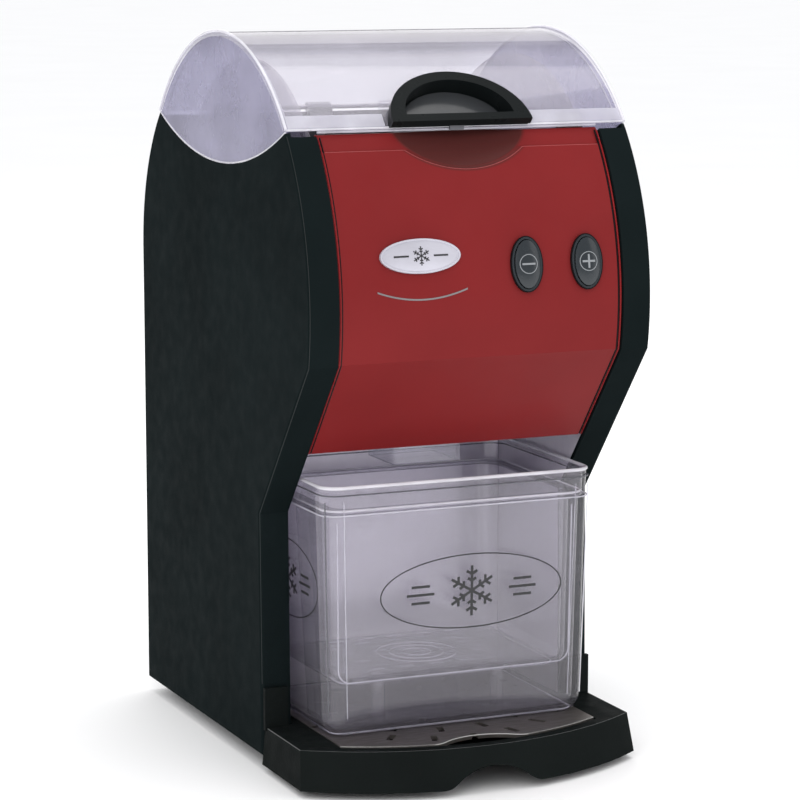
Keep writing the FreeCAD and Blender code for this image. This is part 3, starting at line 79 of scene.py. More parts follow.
# Three bars each side, at a share of the oval's half width. The outer two are shorter.
BIN_BARS = {"place": 0.56, "row": 5, "long": 9, "shorter": 3, "thick": 0.8}
# Painted shade and painted highlights: a dark, a soft and a bright line down the bin's front near
# its corners.
BIN_CORNERS = (     # name, look, sides, x, y, thickness
    ("dark", "dark_shade_lines_and_catch", (-1,), 87.2, -102.7, 0.4),
    ("soft", "painted_highlight_soft", (-1, 1), 76.5, -106.3, 0.28),
    ("bright", "rim", (1,), 86.2, -103.6, 0.4))
BIN_CORNER_ENDS = (172, 40)             # heights
FLANGE = {"half": 85.4, "front": -102.8, "back": 24.6, "top": 166, "corner": 11}
BASKET_FRONT = {"half": 77.4, "y": -98.6, "z": 158}     # the basket's front wall, at its top
BASKET_BEND = {"x": 68.5, "y": -97.2, "z": 68, "radius": 8}     # and its lower corners
BASKET_FOOT = (71, -91, 13, 9, 57.6)    # half width, front, back, corner, height
BASKET_FLOOR = {"y": -39, "z": 59.65, "rings": (9, 17, 25)}
SHELL_RADIUS = 168.4                    # of the side shells' front edge, round the panel's middle
SHELL_LINE = {"x": 109.25, "under": 0.75}           # under is how far inside that radius
SHELL_ENDS = ((-134.0, 257), (-101.8, 387.5))       # (y, z) at the ends of that edge
SHELL_POST = ((-55.5, 54), (-53.7, 158.8))          # (y, z) at the ends of the post beside the bay
TRAY_LIP = (108.2, -115.1, 189, 27.5)   # half width, corner y, bow radius, height
TRAY_LIP_REAR = -62                     # y where its line ends at each side
GRILLE = (83.8, -117.3, 176, 27.72)     # the grille's front edge, like TRAY_LIP
CUTOUT = (31, -136.2, 10.3, 14)         # half width, foot y, depth, shoulder radius

# How finely curved shapes are divided.
ARC_STEPS = 40
CORNER_STEPS = 8
DOME_RINGS, DOME_SIDES = 18, 72
DOME_POWER = 2.4                        # higher is flatter in the middle and steeper at the rim
DOME_SEAT = 0.6                         # how far a dome's flat back lies under its rim
SHARP = math.radians(35)                # edges sharper than this stay sharp, or are rounded
ROOT_THREE = 1.732                      # for the corner between two arms of the snowflake

# The camera is solved from the photograph's viewing angle. Metres, and millimetres for the lens.
CAMERA = {"place": (-0.7335, -1.6947, 0.5046), "ahead": (0.395, 0.9053, -0.156),
          "sensor": 36, "lens": 133.94}
LAMPS = (   # name, place, aim, width, height, power
    ("key", (-1.5, -2.1, 1.7), (0, 0, 0.25), 1.5, 1.5, 16),
    ("fill", (2.1, -1.6, 1.1), (0, 0, 0.22), 1.2, 1.8, 5),
    ("top", (0.1, 0.2, 2.3), (0, 0, 0.3), 1.8, 1.8, 14),
    ("back", (0.6, 2.2, 1.3), (0, 0, 0.3), 1.6, 1.2, 8))
LAMP_COLOUR = (1.0, 0.985, 0.97)
WORLD = (   # colour and strength: as the camera sees it, as it lights, as it's mirrored
    ((1, 1, 1, 1), 1.0), ((0.98, 0.985, 1.0, 1), 1.12), ((0.9, 0.9, 0.93, 1), 0.3))
FLOOR_REACH = 30


# ---- materials ------------------------------------------------------------------------------

EVEN = (1, 1, 1)
FINE = 0.0002       # depth of a fine relief, in metres


class Shader:
    """A node material, built one node at a time. Patterns use object coordinates in metres."""

    def __init__(self, name):
        self.material = bpy.data.materials.new(name)
        self.material.use_nodes = True
        self.tree = self.material.node_tree
        self.tree.nodes.clear()
        self.output = self.tree.nodes.new("ShaderNodeOutputMaterial")
        self.place = self.tree.nodes.new("ShaderNodeTexCoord").outputs["Object"]

    def add(self, kind, sockets=None, **settings):
        made = self.tree.nodes.new("ShaderNode" + kind)
        for name, value in settings.items():
            setattr(made, name, value)
        for name, value in (sockets or {}).items():
            self.feed(made.inputs[name], value)
        return made

    def feed(self, socket, value):
        if isinstance(value, bpy.types.NodeSocket):
            self.tree.links.new(value, socket)
        else:
            socket.default_value = value

    def noise(self, scale, detail, stretch=EVEN):
        """Cloudy pattern; scale is in features per metre, stretch drags it out along an axis."""
        spot = self.place
        if stretch != EVEN:
            spot = self.add("Mapping", {"Vector": spot, "Scale": stretch}).outputs["Vector"]
        made = self.add("TexNoise", {"Vector": spot, "Scale": scale, "Detail": detail})
        return made.outputs["Fac"]

    def cells(self, scale):
        return self.add("TexVoronoi", {"Vector": self.place, "Scale": scale}).outputs["Distance"]

    def between(self, factor, low, high, start=0.3, end=0.7):
        """A number that runs from low to high as the pattern runs from start to end."""
        made = self.add("MapRange", {"Value": factor, "From Min": start, "From Max": end,
                                     "To Min": low, "To Max": high})
        return made.outputs["Result"]

    def ramp(self, factor, *stops):
        """Colours at places along the pattern, each stop (place, colour)."""
        made = self.add("ValToRGB", {"Fac": factor})
        band = made.color_ramp.elements
        while len(band) < len(stops):
            band.new(0.5)
        for element, (spot, colour) in zip(band, stops):
            element.position = spot
            element.color = (*colour, 1)
        return made.outputs["Color"]

    def bump(self, height, strength, under=None, distance=FINE):
        sockets = {"Height": height, "Strength": strength, "Distance": distance}
        if under:
            sockets["Normal"] = under
        return self.add("Bump", sockets).outputs["Normal"]

    def blend(self, factor, first, second):
        made = self.add("MixShader")
        self.feed(made.inputs[0], factor)
        self.feed(made.inputs[1], first.outputs[0])
        self.feed(made.inputs[2], second.outputs[0])
        return made

    def finish(self, shader):
        self.feed(self.output.inputs["Surface"], shader.outputs[0])
        return self.material


def shade(colour, factor):
    return tuple(min(1.0, channel * factor) for channel in colour)


def moulded(name, colour, rough, grain, depth, gloss=0.5, coat=0.0, wander=0.12, painted_shade_ball=None):
    """Moulded plastic: a fine grain, a slow wander of colour, and gloss that isn't quite even.
    The last argument is the middle and radius of a ball, in metres, and the darker colour painted
    inside it as shade."""
    s = Shader(name)
    slow = s.noise(14, 4)
    fine = s.noise(grain, 3)
    worn = s.noise(90, 6)
    rough_map = s.between(worn, rough * 0.82, min(1.0, rough * 1.2))
    base = s.ramp(slow, (0.3, shade(colour, 1 - wander)), (0.7, shade(colour, 1 + wander)))
    # Painted shade: inside the ball the colour turns to a darker one.
    if painted_shade_ball:
        middle, radius, deep = painted_shade_ball
        reach = s.add("VectorMath", {0: s.place, 1: middle}, operation="DISTANCE").outputs["Value"]
        inside = s.between(reach, 1.0, 0.0, radius - 2 * FINE, radius + 2 * FINE)
        base = s.add("Mix", {0: inside, 6: base, 7: (*deep, 1)}, data_type="RGBA").outputs[2]
    relief = s.bump(fine, depth, s.bump(s.cells(grain * 0.8), depth * 0.6))
    return s.finish(s.add("BsdfPrincipled", {
        "Base Color": base, "Roughness": rough_map, "Normal": relief,
        "Specular IOR Level": gloss, "Coat Weight": coat, "Coat Roughness": 0.12}))


def metal(name, colour, rough, stretch, scale, depth, metallic=1.0):
    """Metal: brushing drawn out along one axis, a light stain, and a wandering roughness."""
    s = Shader(name)
    lines = s.noise(scale, 5, stretch)
    stain = s.noise(22, 4)
    rough_map = s.between(lines, rough * 0.75, min(1.0, rough * 1.25))
    base = s.ramp(stain, (0.25, shade(colour, 0.86)), (0.75, shade(colour, 1.08)))
    return s.finish(s.add("BsdfPrincipled", {
        "Base Color": base, "Metallic": metallic, "Roughness": rough_map,
        "Normal": s.bump(lines, depth)}))


def clear(name, face, edge, haze, milk, rough=0.06, ripple=0.05):
    """Clear plastic: see-through faces, darker towards a glancing view, with a little milk."""
    s = Shader(name)
    wave = s.bump(s.noise(26, 2), ripple, distance=0.001)
    glance = s.add("LayerWeight", {"Blend": 0.5, "Normal": wave}).outputs["Facing"]
    through = s.add("BsdfTransparent", {"Color": s.ramp(
        glance, (0.0, face), (0.58, face), (0.88, edge), (1.0, shade(edge, 0.7)))})
    cloud = s.add("BsdfDiffuse", {"Color": s.ramp(
        s.noise(40, 3), (0.3, shade(milk, 0.94)), (0.7, milk)), "Roughness": 0.3})
    body = s.blend(s.between(s.noise(18, 3), haze * 0.75, haze * 1.25), through, cloud)
    shine = s.add("BsdfGlossy", {"Color": (1, 1, 1, 1), "Normal": wave,
                                 "Roughness": s.between(s.noise(60, 3), rough * 0.6, rough * 1.4)})
    # Reflections stay faint face on and grow steeply towards a glancing view.
    steep = s.add("Math", {0: glance, 1: 5.0}, operation="POWER").outputs[0]
    return s.finish(s.blend(s.between(steep, 0.035, 0.7, 0.0, 1.0), body, shine))


def rim_light(name, colour, rough=0.1, solid=0.65):
    """A painted highlight: the bright line that light makes at a clear wall's edge."""
    s = Shader(name)
    tone = s.ramp(s.noise(70, 3), (0.3, shade(colour, 0.86)), (0.7, colour))
    face = s.add("BsdfPrincipled", {"Base Color": tone, "Roughness": s.between(
        s.noise(200, 2), rough * 0.7, rough * 1.4), "Coat Weight": 0.5, "Coat Roughness": 0.05})
    through = s.add("BsdfTransparent", {"Color": (0.93, 0.92, 0.96, 1)})
    return s.finish(s.blend(s.between(s.noise(30, 2), solid * 0.85, solid * 1.15), through, face))


SHELL_BLACK = (0.0074, 0.0112, 0.0118)
PANEL_RED = (0.19, 0.0165, 0.0175)
SCOOP_PAINTED_SHADE = ((0, -0.2094, 0.4927), 0.1583, (0.075, 0.021, 0.019))   # the scoop's ball, and the darker colour painted in it as shade
CLEAR_FACE = (0.955, 0.95, 0.97)
CLEAR_EDGE = (0.40, 0.39, 0.45)
MILK = (0.88, 0.86, 0.93)

# moulded: name, colour, roughness, grain, depth, gloss, coat, wander of the colour, ball of painted
# shade
# metal: name, colour, roughness, stretch, scale, depth, how metallic
# clear: name, colour face on, colour at a glance, haze, colour of the haze, roughness, ripple
LOOKS = {
    "shell": moulded("shell_black", SHELL_BLACK, 0.5, 1400, 0.3, 0.004),
    "tray": moulded("tray_black", (0.0085, 0.0105, 0.0102), 0.5, 800, 0.6, 0.012),
    # The panel is painted darker inside the scoop's ball, as shade in the scoop and the grip's
    # shadow.
    "panel": moulded("panel_red", PANEL_RED, 0.36, 1100, 0.12, 0.07, 0.02, 0.06, SCOOP_PAINTED_SHADE),
    "clear": clear("clear_sheet", CLEAR_FACE, CLEAR_EDGE, 0.13, (0.90, 0.87, 0.97)),
    "bin_clear": clear("clear_bin", (0.97, 0.965, 0.98), (0.30, 0.29, 0.35), 0.032, MILK, 0.05,
                       0.03),
    "frosted": clear("clear_cheek", (0.66, 0.65, 0.76), (0.34, 0.33, 0.42), 0.36,
                     (0.50, 0.48, 0.64), 0.25, 0.01),
    "hopper": clear("clear_hopper", (0.86, 0.85, 0.87), (0.36, 0.34, 0.36), 0.2,
                    (0.66, 0.63, 0.66), 0.14),
    "button": moulded("button_dark", (0.022, 0.028, 0.033), 0.24, 1200, 0.04, 0.5, 0.25, 0.08),
    "bezel": moulded("bezel_black", (0.006, 0.006, 0.007), 0.3, 900, 0.05, 0.1, 0.05),
    "grip": moulded("grip_black", (0.0065, 0.0085, 0.009), 0.3, 1300, 0.08, 0.08, 0.03),
    "bright": metal("badge_silver", (0.60, 0.59, 0.66), 0.38, EVEN, 60, 0.02, 0.3),
    "grille": metal("grille_satin", (0.235, 0.215, 0.20), 0.42, (0.15, 1, 1), 500, 0.25, 0.85),
    "plate": metal("lining_steel", (0.66, 0.64, 0.68), 0.42, (1, 1, 0.2), 500, 0.03, 0.6),
    "bracket": metal("bracket_zinc", (0.48, 0.49, 0.50), 0.38, EVEN, 160, 0.2),
    "steel": metal("steel_ground", (0.62, 0.62, 0.63), 0.25, (0.1, 1, 1), 700, 0.15),
    "cast": metal("aluminium_cast", (0.55, 0.55, 0.56), 0.45, EVEN, 420, 0.5),
    "motor": moulded("motor_enamel", (0.02, 0.021, 0.024), 0.4, 300, 0.4),
    "bearing": metal("bronze_sintered", (0.50, 0.36, 0.16), 0.4, EVEN, 900, 0.4),
    "rubber": moulded("rubber_matte", (0.012, 0.012, 0.012), 0.85, 500, 0.5, 0.25),
    "board": moulded("board_green", (0.02, 0.11, 0.05), 0.4, 240, 0.2),
    "inner": moulded("inner_dark", (0.03, 0.03, 0.033), 0.5, 700, 0.3),
    "food": clear("clear_chute", (0.93, 0.93, 0.95), (0.42, 0.42, 0.47), 0.10,
                  (0.85, 0.85, 0.9), 0.07),
    "pins": metal("pins_plated", (0.72, 0.62, 0.36), 0.22, EVEN, 500, 0.1),
    # Painted highlight: bright beads standing in for light along the clear parts' edges.
    "rim": rim_light("painted_highlight_bright", (0.93, 0.92, 0.97)),
    # A softer painted highlight, for fainter light lines along clear edges, ledges, feet and rings.
    "painted_highlight_soft": rim_light("painted_highlight_soft", (0.74, 0.73, 0.80), 0.15, 0.5),
    # Painted shade: dark lines at the bin's corners and under its rim. The lid's catch takes the
    # same dark grey.
    "dark_shade_lines_and_catch": moulded("dark_shade_lines_and_catch", (0.10, 0.10, 0.115), 0.2, 600, 0.05, 0.6),
    # Painted highlight: a dim grey line where light catches the shells' rounded front edges.
    "painted_edge_highlight_dim": moulded("painted_edge_highlight_dim", (0.03, 0.034, 0.034), 0.4, 900, 0.1, 0.1),
    # Painted highlight: a grey line where light catches the tray's front rim.
    "painted_edge_highlight_grey": moulded("painted_edge_highlight_grey", (0.10, 0.105, 0.105), 0.35, 900, 0.1),
    # Painted highlight: a brighter red line where light catches the panel's side rims.
    "painted_rim_highlight_red": moulded("painted_rim_highlight_red", (0.24, 0.012, 0.014), 0.3, 1100, 0.05, 0.2),
    # Painted highlight: a lighter red line where light catches the panel's step.
    "painted_step_highlight": moulded("painted_step_highlight", (0.33, 0.055, 0.055), 0.35, 1100, 0.05),
    # Painted highlight: a pale line where light catches the grille's front edge.
    "painted_edge_highlight_pale": moulded("painted_edge_highlight_pale", (0.50, 0.50, 0.48), 0.35, 900, 0.1),
    # Partly painted sheen: a lighter grey than the grip's black, with real gloss on top.
    "cup": moulded("cup_floor_painted_sheen", (0.045, 0.048, 0.052), 0.2, 900, 0.05, 0.5, 0.3),
    "print": moulded("print_dark", (0.025, 0.025, 0.027), 0.45, 1500, 0.1),
    "sign": moulded("sign_grey", (0.26, 0.275, 0.29), 0.4, 1500, 0.1),
    "stripe": moulded("stripe_grey", (0.20, 0.185, 0.19), 0.4, 1500, 0.1),
}
SPECIAL = {     # nodes whose look isn't the one their slot names
    "drip_tray": "tray", "ice_bin": "bin_clear", "ice_basket": "bin_clear", "ice_hopper": "hopper",
    "button_bezels": "bezel", "right_bay_panel": "plate", "left_bay_panel": "plate",
}


def smooth(item):
    """Smooth shading that keeps the sharp edges."""
    for face in item.data.polygons:
        face.use_smooth = True
    item.data.set_sharp_from_angle(angle=SHARP)


def bevel(item, width):
    """A small rounding of a CAD part's sharp edges, on top of its own mesh."""
    modifier = item.modifiers.new("edge_rounding", "BEVEL")
    modifier.width = width * MM
    modifier.segments = 3
    modifier.limit_method = "ANGLE"
    modifier.angle_limit = SHARP
    modifier.harden_normals = True
    modifier.use_clamp_overlap = True


def dress_nodes():
    """Gives every CAD part the look of its slot, or its own."""
    slots = {part["node"]: part["material_slot"] for part in frame["record"]["subparts"]}
    for name, item in NODES.items():
        item.data.materials.clear()
        item.data.materials.append(LOOKS[SPECIAL.get(name, slots[name])])


# ---- pieces ---------------------------------------------------------------------------------

def keep(item, look, body, slot):
    """Gives a new piece its material and its body. The slot is not used."""
    item.data.materials.append(LOOKS[look])
    bpy.context.scene.collection.objects.link(item)
    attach(item, body)
    return item


def from_faces(name, points, faces, look, body, slot):
    """A piece from corners in millimetres and faces that number them."""
    mesh = bpy.data.meshes.new(name)
    mesh.from_pydata([Vector(point) * MM for point in points], [], faces)
    mesh.validate()
    item = keep(bpy.data.objects.new(name, mesh), look, body, slot)
    smooth(item)
    return item


def wire(name, lines, radius, look, body, slot, closed=False):
    """Round beads of one radius along lines of points, all in millimetres."""
    curve = bpy.data.curves.new(name, "CURVE")
    curve.dimensions = "3D"
    curve.bevel_depth = radius * MM
    curve.bevel_resolution = 3
    curve.use_fill_caps = True
    for line in lines:
        spline = curve.splines.new("POLY")
        spline.points.add(len(line) - 1)
        for point, spot in zip(spline.points, line):
            point.co = (*(Vector(spot) * MM), 1)
        spline.use_cyclic_u = closed
    return keep(bpy.data.objects.new(name, curve), look, body, slot)


def arc_points(arc, start_y, end_y, count, x, above=True):
    """Points along an arc in the side view, at one x, from one y to another."""
    middle_y, middle_z, radius = arc
    first, last = ((y - middle_y) / radius for y in (start_y, end_y))
    points = []
    for step in range(count + 1):
        turn = math.asin(first) + (math.asin(last) - math.asin(first)) * step / count
        rise = radius * math.cos(turn) * (1 if above else -1)
        points.append((x, middle_y + radius * math.sin(turn), middle_z + rise))
    return points


def bow_line(half, corner, radius, z, start=None, end=None, count=48):
    """Points along a bowed front edge in plan, from one x to another."""
    start = -half if start is None else start
    end = half if end is None else end
    middle = corner + math.sqrt(radius ** 2 - half ** 2)
    line = []
    for step in range(count + 1):
        x = start + (end - start) * step / count
        line.append((x, middle - math.sqrt(radius ** 2 - x ** 2), z))
    return line


def rounded_plan(half, front, back, corner, z):
    """A rounded rectangle in plan, as points at height z."""
    points = []
    for x, y, start in (
            (half, front, -90), (half, back, 0), (-half, back, 90), (-half, front, 180)):
        middle_x = x - corner if x > 0 else x + corner
        middle_y = y + corner if y == front else y - corner
        for step in range(CORNER_STEPS + 1):
            turn = math.radians(start + 90 * step / CORNER_STEPS)
            points.append((middle_x + corner * math.cos(turn), middle_y + corner * math.sin(turn),
                           z))
    return points


def dome(name, half_wide, half_high, low, rise, matrix, look, body, slot):
    """A closed oval cushion: a rim at height low, a face that rises by rise, and a flat back."""
    turns = [2 * math.pi * side / DOME_SIDES for side in range(DOME_SIDES)]
    circle = [(math.cos(turn), math.sin(turn)) for turn in turns]
    points, faces = [], []
    for ring in range(DOME_RINGS):
        share = 1 - ring / DOME_RINGS
        height = low + rise * (1 - share ** DOME_POWER)
        points += [(half_wide * share * u, half_high * share * v, height) for u, v in circle]
    top = len(points)
    points.append((0, 0, low + rise))
    back = len(points)
    points += [(half_wide * u, half_high * v, low - DOME_SEAT) for u, v in circle]
    last = top - DOME_SIDES
    for side in range(DOME_SIDES):
        other = (side + 1) % DOME_SIDES
        for inner in range(0, last, DOME_SIDES):
            outer = inner + DOME_SIDES
            faces.append((inner + side, inner + other, outer + other, outer + side))
        faces.append((last + side, last + other, top))
        faces.append((back + side, back + other, other, side))
    faces.append(tuple(back + side for side in reversed(range(DOME_SIDES))))
    placed = [matrix @ Vector(point) for point in points]
    return from_faces(name, placed, faces, look, body, slot)


def ribbon(name, inner, outer, thick, spot, look, body, slot, closed=True):
    """A thin band between two lines of the same number of points, laid on a surface by spot."""
    count = len(inner)
    points = [spot(u, v, lift) for lift in (0, thick) for line in (inner, outer) for u, v in line]
    low_in, low_out, top_in, top_out = 0, count, 2 * count, 3 * count
    faces = []
    for here in range(count if closed else count - 1):
        there = (here + 1) % count
        faces.append((top_in + here, top_in + there, top_out + there, top_out + here))
        faces.append((low_in + there, low_in + here, low_out + here, low_out + there))
        faces.append((low_in + here, low_in + there, top_in + there, top_in + here))
        faces.append((low_out + there, low_out + here, top_out + here, top_out + there))
    if not closed:
        for end in (0, count - 1):
            face = (low_in + end, low_out + end, top_out + end, top_in + end)
            faces.append(face if end else tuple(reversed(face)))
    return from_faces(name, points, faces, look, body, slot)


def plaque(name, outline, thick, spot, look, body, slot):
    """A thin raised shape with any outline, laid on a surface by spot."""
    count = len(outline)
    points = [spot(u, v, lift) for lift in (0, thick) for u, v in outline]
    faces = [tuple(range(count, 2 * count)), tuple(reversed(range(count)))]
    for step in range(count):
        other = (step + 1) % count
        faces.append((step, other, count + other, count + step))
    return from_faces(name, points, faces, look, body, slot)


def oval_line(half_wide, half_high, middle=(0, 0), count=96):
    """The outline of an oval."""
    return [(middle[0] + half_wide * math.cos(2 * math.pi * step / count),
             middle[1] + half_high * math.sin(2 * math.pi * step / count)) for step in range(count)]


def bar_line(half_long, half_wide):
    """The outline of a bar, or a minus sign."""
    return [(-half_long, -half_wide), (half_long, -half_wide),
            (half_long, half_wide), (-half_long, half_wide)]


def cross_line(half_long, half_wide):
    """The outline of a plus sign."""
    outline = []
    arm = [(half_long, -half_wide), (half_long, half_wide), (half_wide, half_wide)]
    for _ in range(4):
        outline += arm
        arm = [(-v, u) for u, v in arm]
    return outline


def finer(outline, step=0.5):
    """The same outline with more points, so that it can follow a domed surface."""
    points = []
    for (u, v), (next_u, next_v) in zip(outline, outline[1:] + outline[:1]):
        parts = max(1, round(math.hypot(next_u - u, next_v - v) / step))
        for part in range(parts):
            share = part / parts
            points.append((u + (next_u - u) * share, v + (next_v - v) * share))
    return points


def snowflake(size, middle):
    """The outline of a plain six-armed snowflake, with two pairs of twigs on each arm."""
    half = size * 0.055
    lean, rise = math.sin(math.radians(60)), 0.5
    low, high = half * 0.5 / lean, half * 1.5 / lean
    arm = [(half, ROOT_THREE * half)]
    for spot, reach in ((size * 0.40, size * 0.20), (size * 0.66, size * 0.26)):
        arm.append((half, spot + rise * low - half * lean))
        arm.append((reach * lean + half * 0.5, spot + reach * rise - half * lean))
        arm.append((reach * lean - half * 0.5, spot + reach * rise + half * lean))
        arm.append((half, spot + rise * high + half * lean))
    arm.append((half, size))
    whole = arm + [(-u, v) for u, v in arm[:0:-1]]
    outline = []
    for turn in range(6):
        angle = math.radians(60 * turn)
        for u, v in whole:
            outline.append((middle[0] + u * math.cos(angle) - v * math.sin(angle),
                            middle[1] + u * math.sin(angle) + v * math.cos(angle)))
    return outline


def arc_spot(arc, inset=0.0):
    """Lays points on a face that is an arc in the side view: u is x, v is z, lift is outward."""
    middle_y, middle_z, radius = arc

    def spot(u, v, lift):
        reach = radius - inset + lift
        return (u, middle_y - math.sqrt(reach ** 2 - (v - middle_z) ** 2), v)
    return spot


def flat_spot(matrix, height):
    """Lays points on a plane at a height over a tilted frame."""
    def spot(u, v, lift):
        return matrix @ Vector((u, v, height + lift))
    return spot


def domed_spot(matrix, half_wide, half_high, low, rise, sink):
    """Lays points on a dome's face, sunk a little so that they stand in it."""
    def spot(u, v, lift):
        share = math.hypot(u / half_wide, v / half_high)
        return matrix @ Vector((u, v, low + rise * (1 - share ** DOME_POWER) + lift - sink))
    return spot


def tilted(where, x):
    """The matrix of a frame that stands square to the panel at the buttons or the badge."""
    turn = Matrix.Rotation(math.radians(90 - where["tilt"]), 4, "X")
    return Matrix.Translation((x, where["y"], where["z"])) @ turn


def button_faces():
    """Domed caps with a ringed minus or plus sign, and a band on the bezel round each."""
    inner, outer = (oval_line(*half) for half in BEZEL_BAND)
    ring_inner, ring_outer = (oval_line(radius, radius) for radius in SIGN_RING)
    for name, body, x in KEYS:
        matrix = tilted(BUTTON, x)
        face = (BUTTON["wide"], BUTTON["high"], BUTTON["face"], BUTTON["rise"])
        dome(f"{name}_cap_dome", *face, matrix, "button", body, "button")
        ribbon(f"{name}_bezel_band", inner, outer, 0.15, flat_spot(matrix, BUTTON["bezel"]),
               "button", "root", "button")
        spot = domed_spot(matrix, *face, BUTTON["sunk"])
        ribbon(f"{name}_sign_ring", ring_inner, ring_outer, 0.2, spot, "sign", body, "button")
        sign = bar_line(*SIGNS[name]) if name == "minus" else cross_line(*SIGNS[name])
        plaque(f"{name}_sign", finer(sign, SIGN_STEP), 0.3, spot, "sign", body, "button")


def badge_face():
    """A domed silver oval with a fine raised rim and a plain snowflake, and the stripe under it."""
    matrix = tilted(BADGE, BADGE["x"])
    face = (BADGE["wide"] - BADGE["border"], BADGE["high"] - BADGE["border"],
            BADGE["face"] - BADGE["seat"], BADGE["rise"])
    dome("badge_dome", *face, matrix, "bright", "root", "bright")
    inset = BADGE_RIM["inset"]
    rim = [matrix @ Vector((u, v, BADGE["face"]))
           for u, v in oval_line(BADGE["wide"] - inset, BADGE["high"] - inset)]
    wire("badge_rim", [rim], BADGE_RIM["radius"], "bright", "root", "bright", closed=True)
    look = (0.2, domed_spot(matrix, *face, BADGE["sunk"]), "print", "root", "bright")
    plaque("badge_snowflake", finer(snowflake(BADGE_PRINT["flake"], (0, 0))), *look)
    for side in (-1, 1):
        bar = [(u + side * BADGE_PRINT["bar_x"], v) for u, v in bar_line(*BADGE_PRINT["bar"])]
        plaque(f"badge_bar_{side + 1}", finer(bar), *look)
    lower, upper = [], []
    for step in range(ARC_STEPS + 1):
        share = 2 * step / ARC_STEPS - 1
        u = STRIPE["x"] + STRIPE["half"] * share
        height = STRIPE["z"] + STRIPE["bow"] * share * share
        lower.append((u, height - STRIPE["thick"]))
        upper.append((u, height + STRIPE["thick"]))
    ribbon("badge_stripe", upper, lower, 0.25, arc_spot(PANEL_ARC, 0.05), "stripe", "root",
           "bright", closed=False)


def bin_slip(z):
    """How far the bin's walls have leaned in at height z."""
    return BIN["lean"] * (BIN["top"] - z) / (BIN["top"] - BIN["foot"])


def bin_front_spot(u, v, lift):
    """Lays points on the bin's front: u is x and v is z."""
    return (u, BIN["front"] + bin_slip(v) - lift, v)


def bin_side_spot(u, v, lift):
    """Lays points on the bin's left side: u runs forward and v is z."""
    return (bin_slip(v) - BIN["half"] - lift, -u, v)


def bin_prints():
    """Thin dark ovals with a plain snowflake, printed on the bin's front and left side."""
    for (name, middle, wide, high), spot in zip(BIN_PRINTS, (bin_front_spot, bin_side_spot)):
        look = (0.15, spot, "print", "bin", "shell")
        line = BIN_BARS["thick"]
        ribbon(name + "_oval", oval_line(wide - line, high - line, middle),
               oval_line(wide, high, middle), *look)
        plaque(name + "_flake", snowflake(BIN_FLAKE, middle), *look)
        for side in (-1, 1):
            for row in (-1, 0, 1):
                x = middle[0] + side * (wide * BIN_BARS["place"])
                y = middle[1] + BIN_BARS["row"] * row
                long = BIN_BARS["long"] - BIN_BARS["shorter"] * abs(row)
                bar = [(x + u, y + v) for u, v in bar_line(long, line)]
                plaque(f"{name}_bar_{side + 1}_{row + 1}", bar, *look)


def bin_edges():
    """Painted highlights: bright beads at the rims of the bin and the basket, light lines on
    ledges,
    feet and floor rings. Painted shade: a dark line under the bin's rim, and fine painted light and
    dark lines down the corners.
    """
    def ring(name, shape, inset, corner, z, thick, look, body):
        plan = rounded_plan(shape["half"] - inset, shape["front"] + inset, shape["back"] - inset,
                            corner, z)
        wire(name, [plan], thick, look, body, "clear", closed=True)

    ring("bin_rim", BIN, 1.0, BIN["corner"], BIN["top"], 1.15, "rim", "bin")
    # A painted shade line under the bin's rim.
    ring("bin_rim_under", BIN, 0.2, BIN["corner"], BIN["top"] - 4.4, 0.45, "dark_shade_lines_and_catch", "bin")
    ring("bin_shelf_line", BIN, 0.55, BIN["corner"], BIN["shelf"], 0.5, "painted_highlight_soft", "bin")
    ring("basket_flange_bead", FLANGE, 0.4, FLANGE["corner"], FLANGE["top"] - 0.2, 0.75, "rim",
         "basket")
    ring("bin_foot_line", BIN, BIN["lean"] + 5, 8, BIN["foot"] + 1.2, 0.6, "painted_highlight_soft", "bin")
    for name, look, sides, x, y, thick in BIN_CORNERS:
        lines = [[(side * (x - bin_slip(z)), y + bin_slip(z), z) for z in BIN_CORNER_ENDS]
                 for side in sides]
        wire(f"bin_corner_{name}", lines, thick, look, "bin", "clear")
    half, y, z = BASKET_FRONT["half"], BASKET_FRONT["y"], BASKET_FRONT["z"]
    radius = BASKET_BEND["radius"]
    outline = [(-half, y, z)]
    for side, start in ((-1, 180), (1, 270)):
        for step in range(CORNER_STEPS + 1):
            turn = math.radians(start + 90 * step / CORNER_STEPS)
            outline.append((side * BASKET_BEND["x"] + radius * math.cos(turn), BASKET_BEND["y"],
                            BASKET_BEND["z"] + radius * math.sin(turn)))
    outline.append((half, y, z))
    wire("basket_front_line", [outline], 0.45, "painted_highlight_soft", "basket", "clear")
    foot = rounded_plan(*BASKET_FOOT)
    wire("basket_foot_line", [foot], 0.6, "painted_highlight_soft", "basket", "clear", closed=True)
    rings = [[(u, v, BASKET_FLOOR["z"])
              for u, v in oval_line(reach, reach, (0, BASKET_FLOOR["y"]), 64)]
             for reach in BASKET_FLOOR["rings"]]
    wire("basket_floor_rings", rings, 0.35, "painted_highlight_soft", "basket", "clear", closed=True)


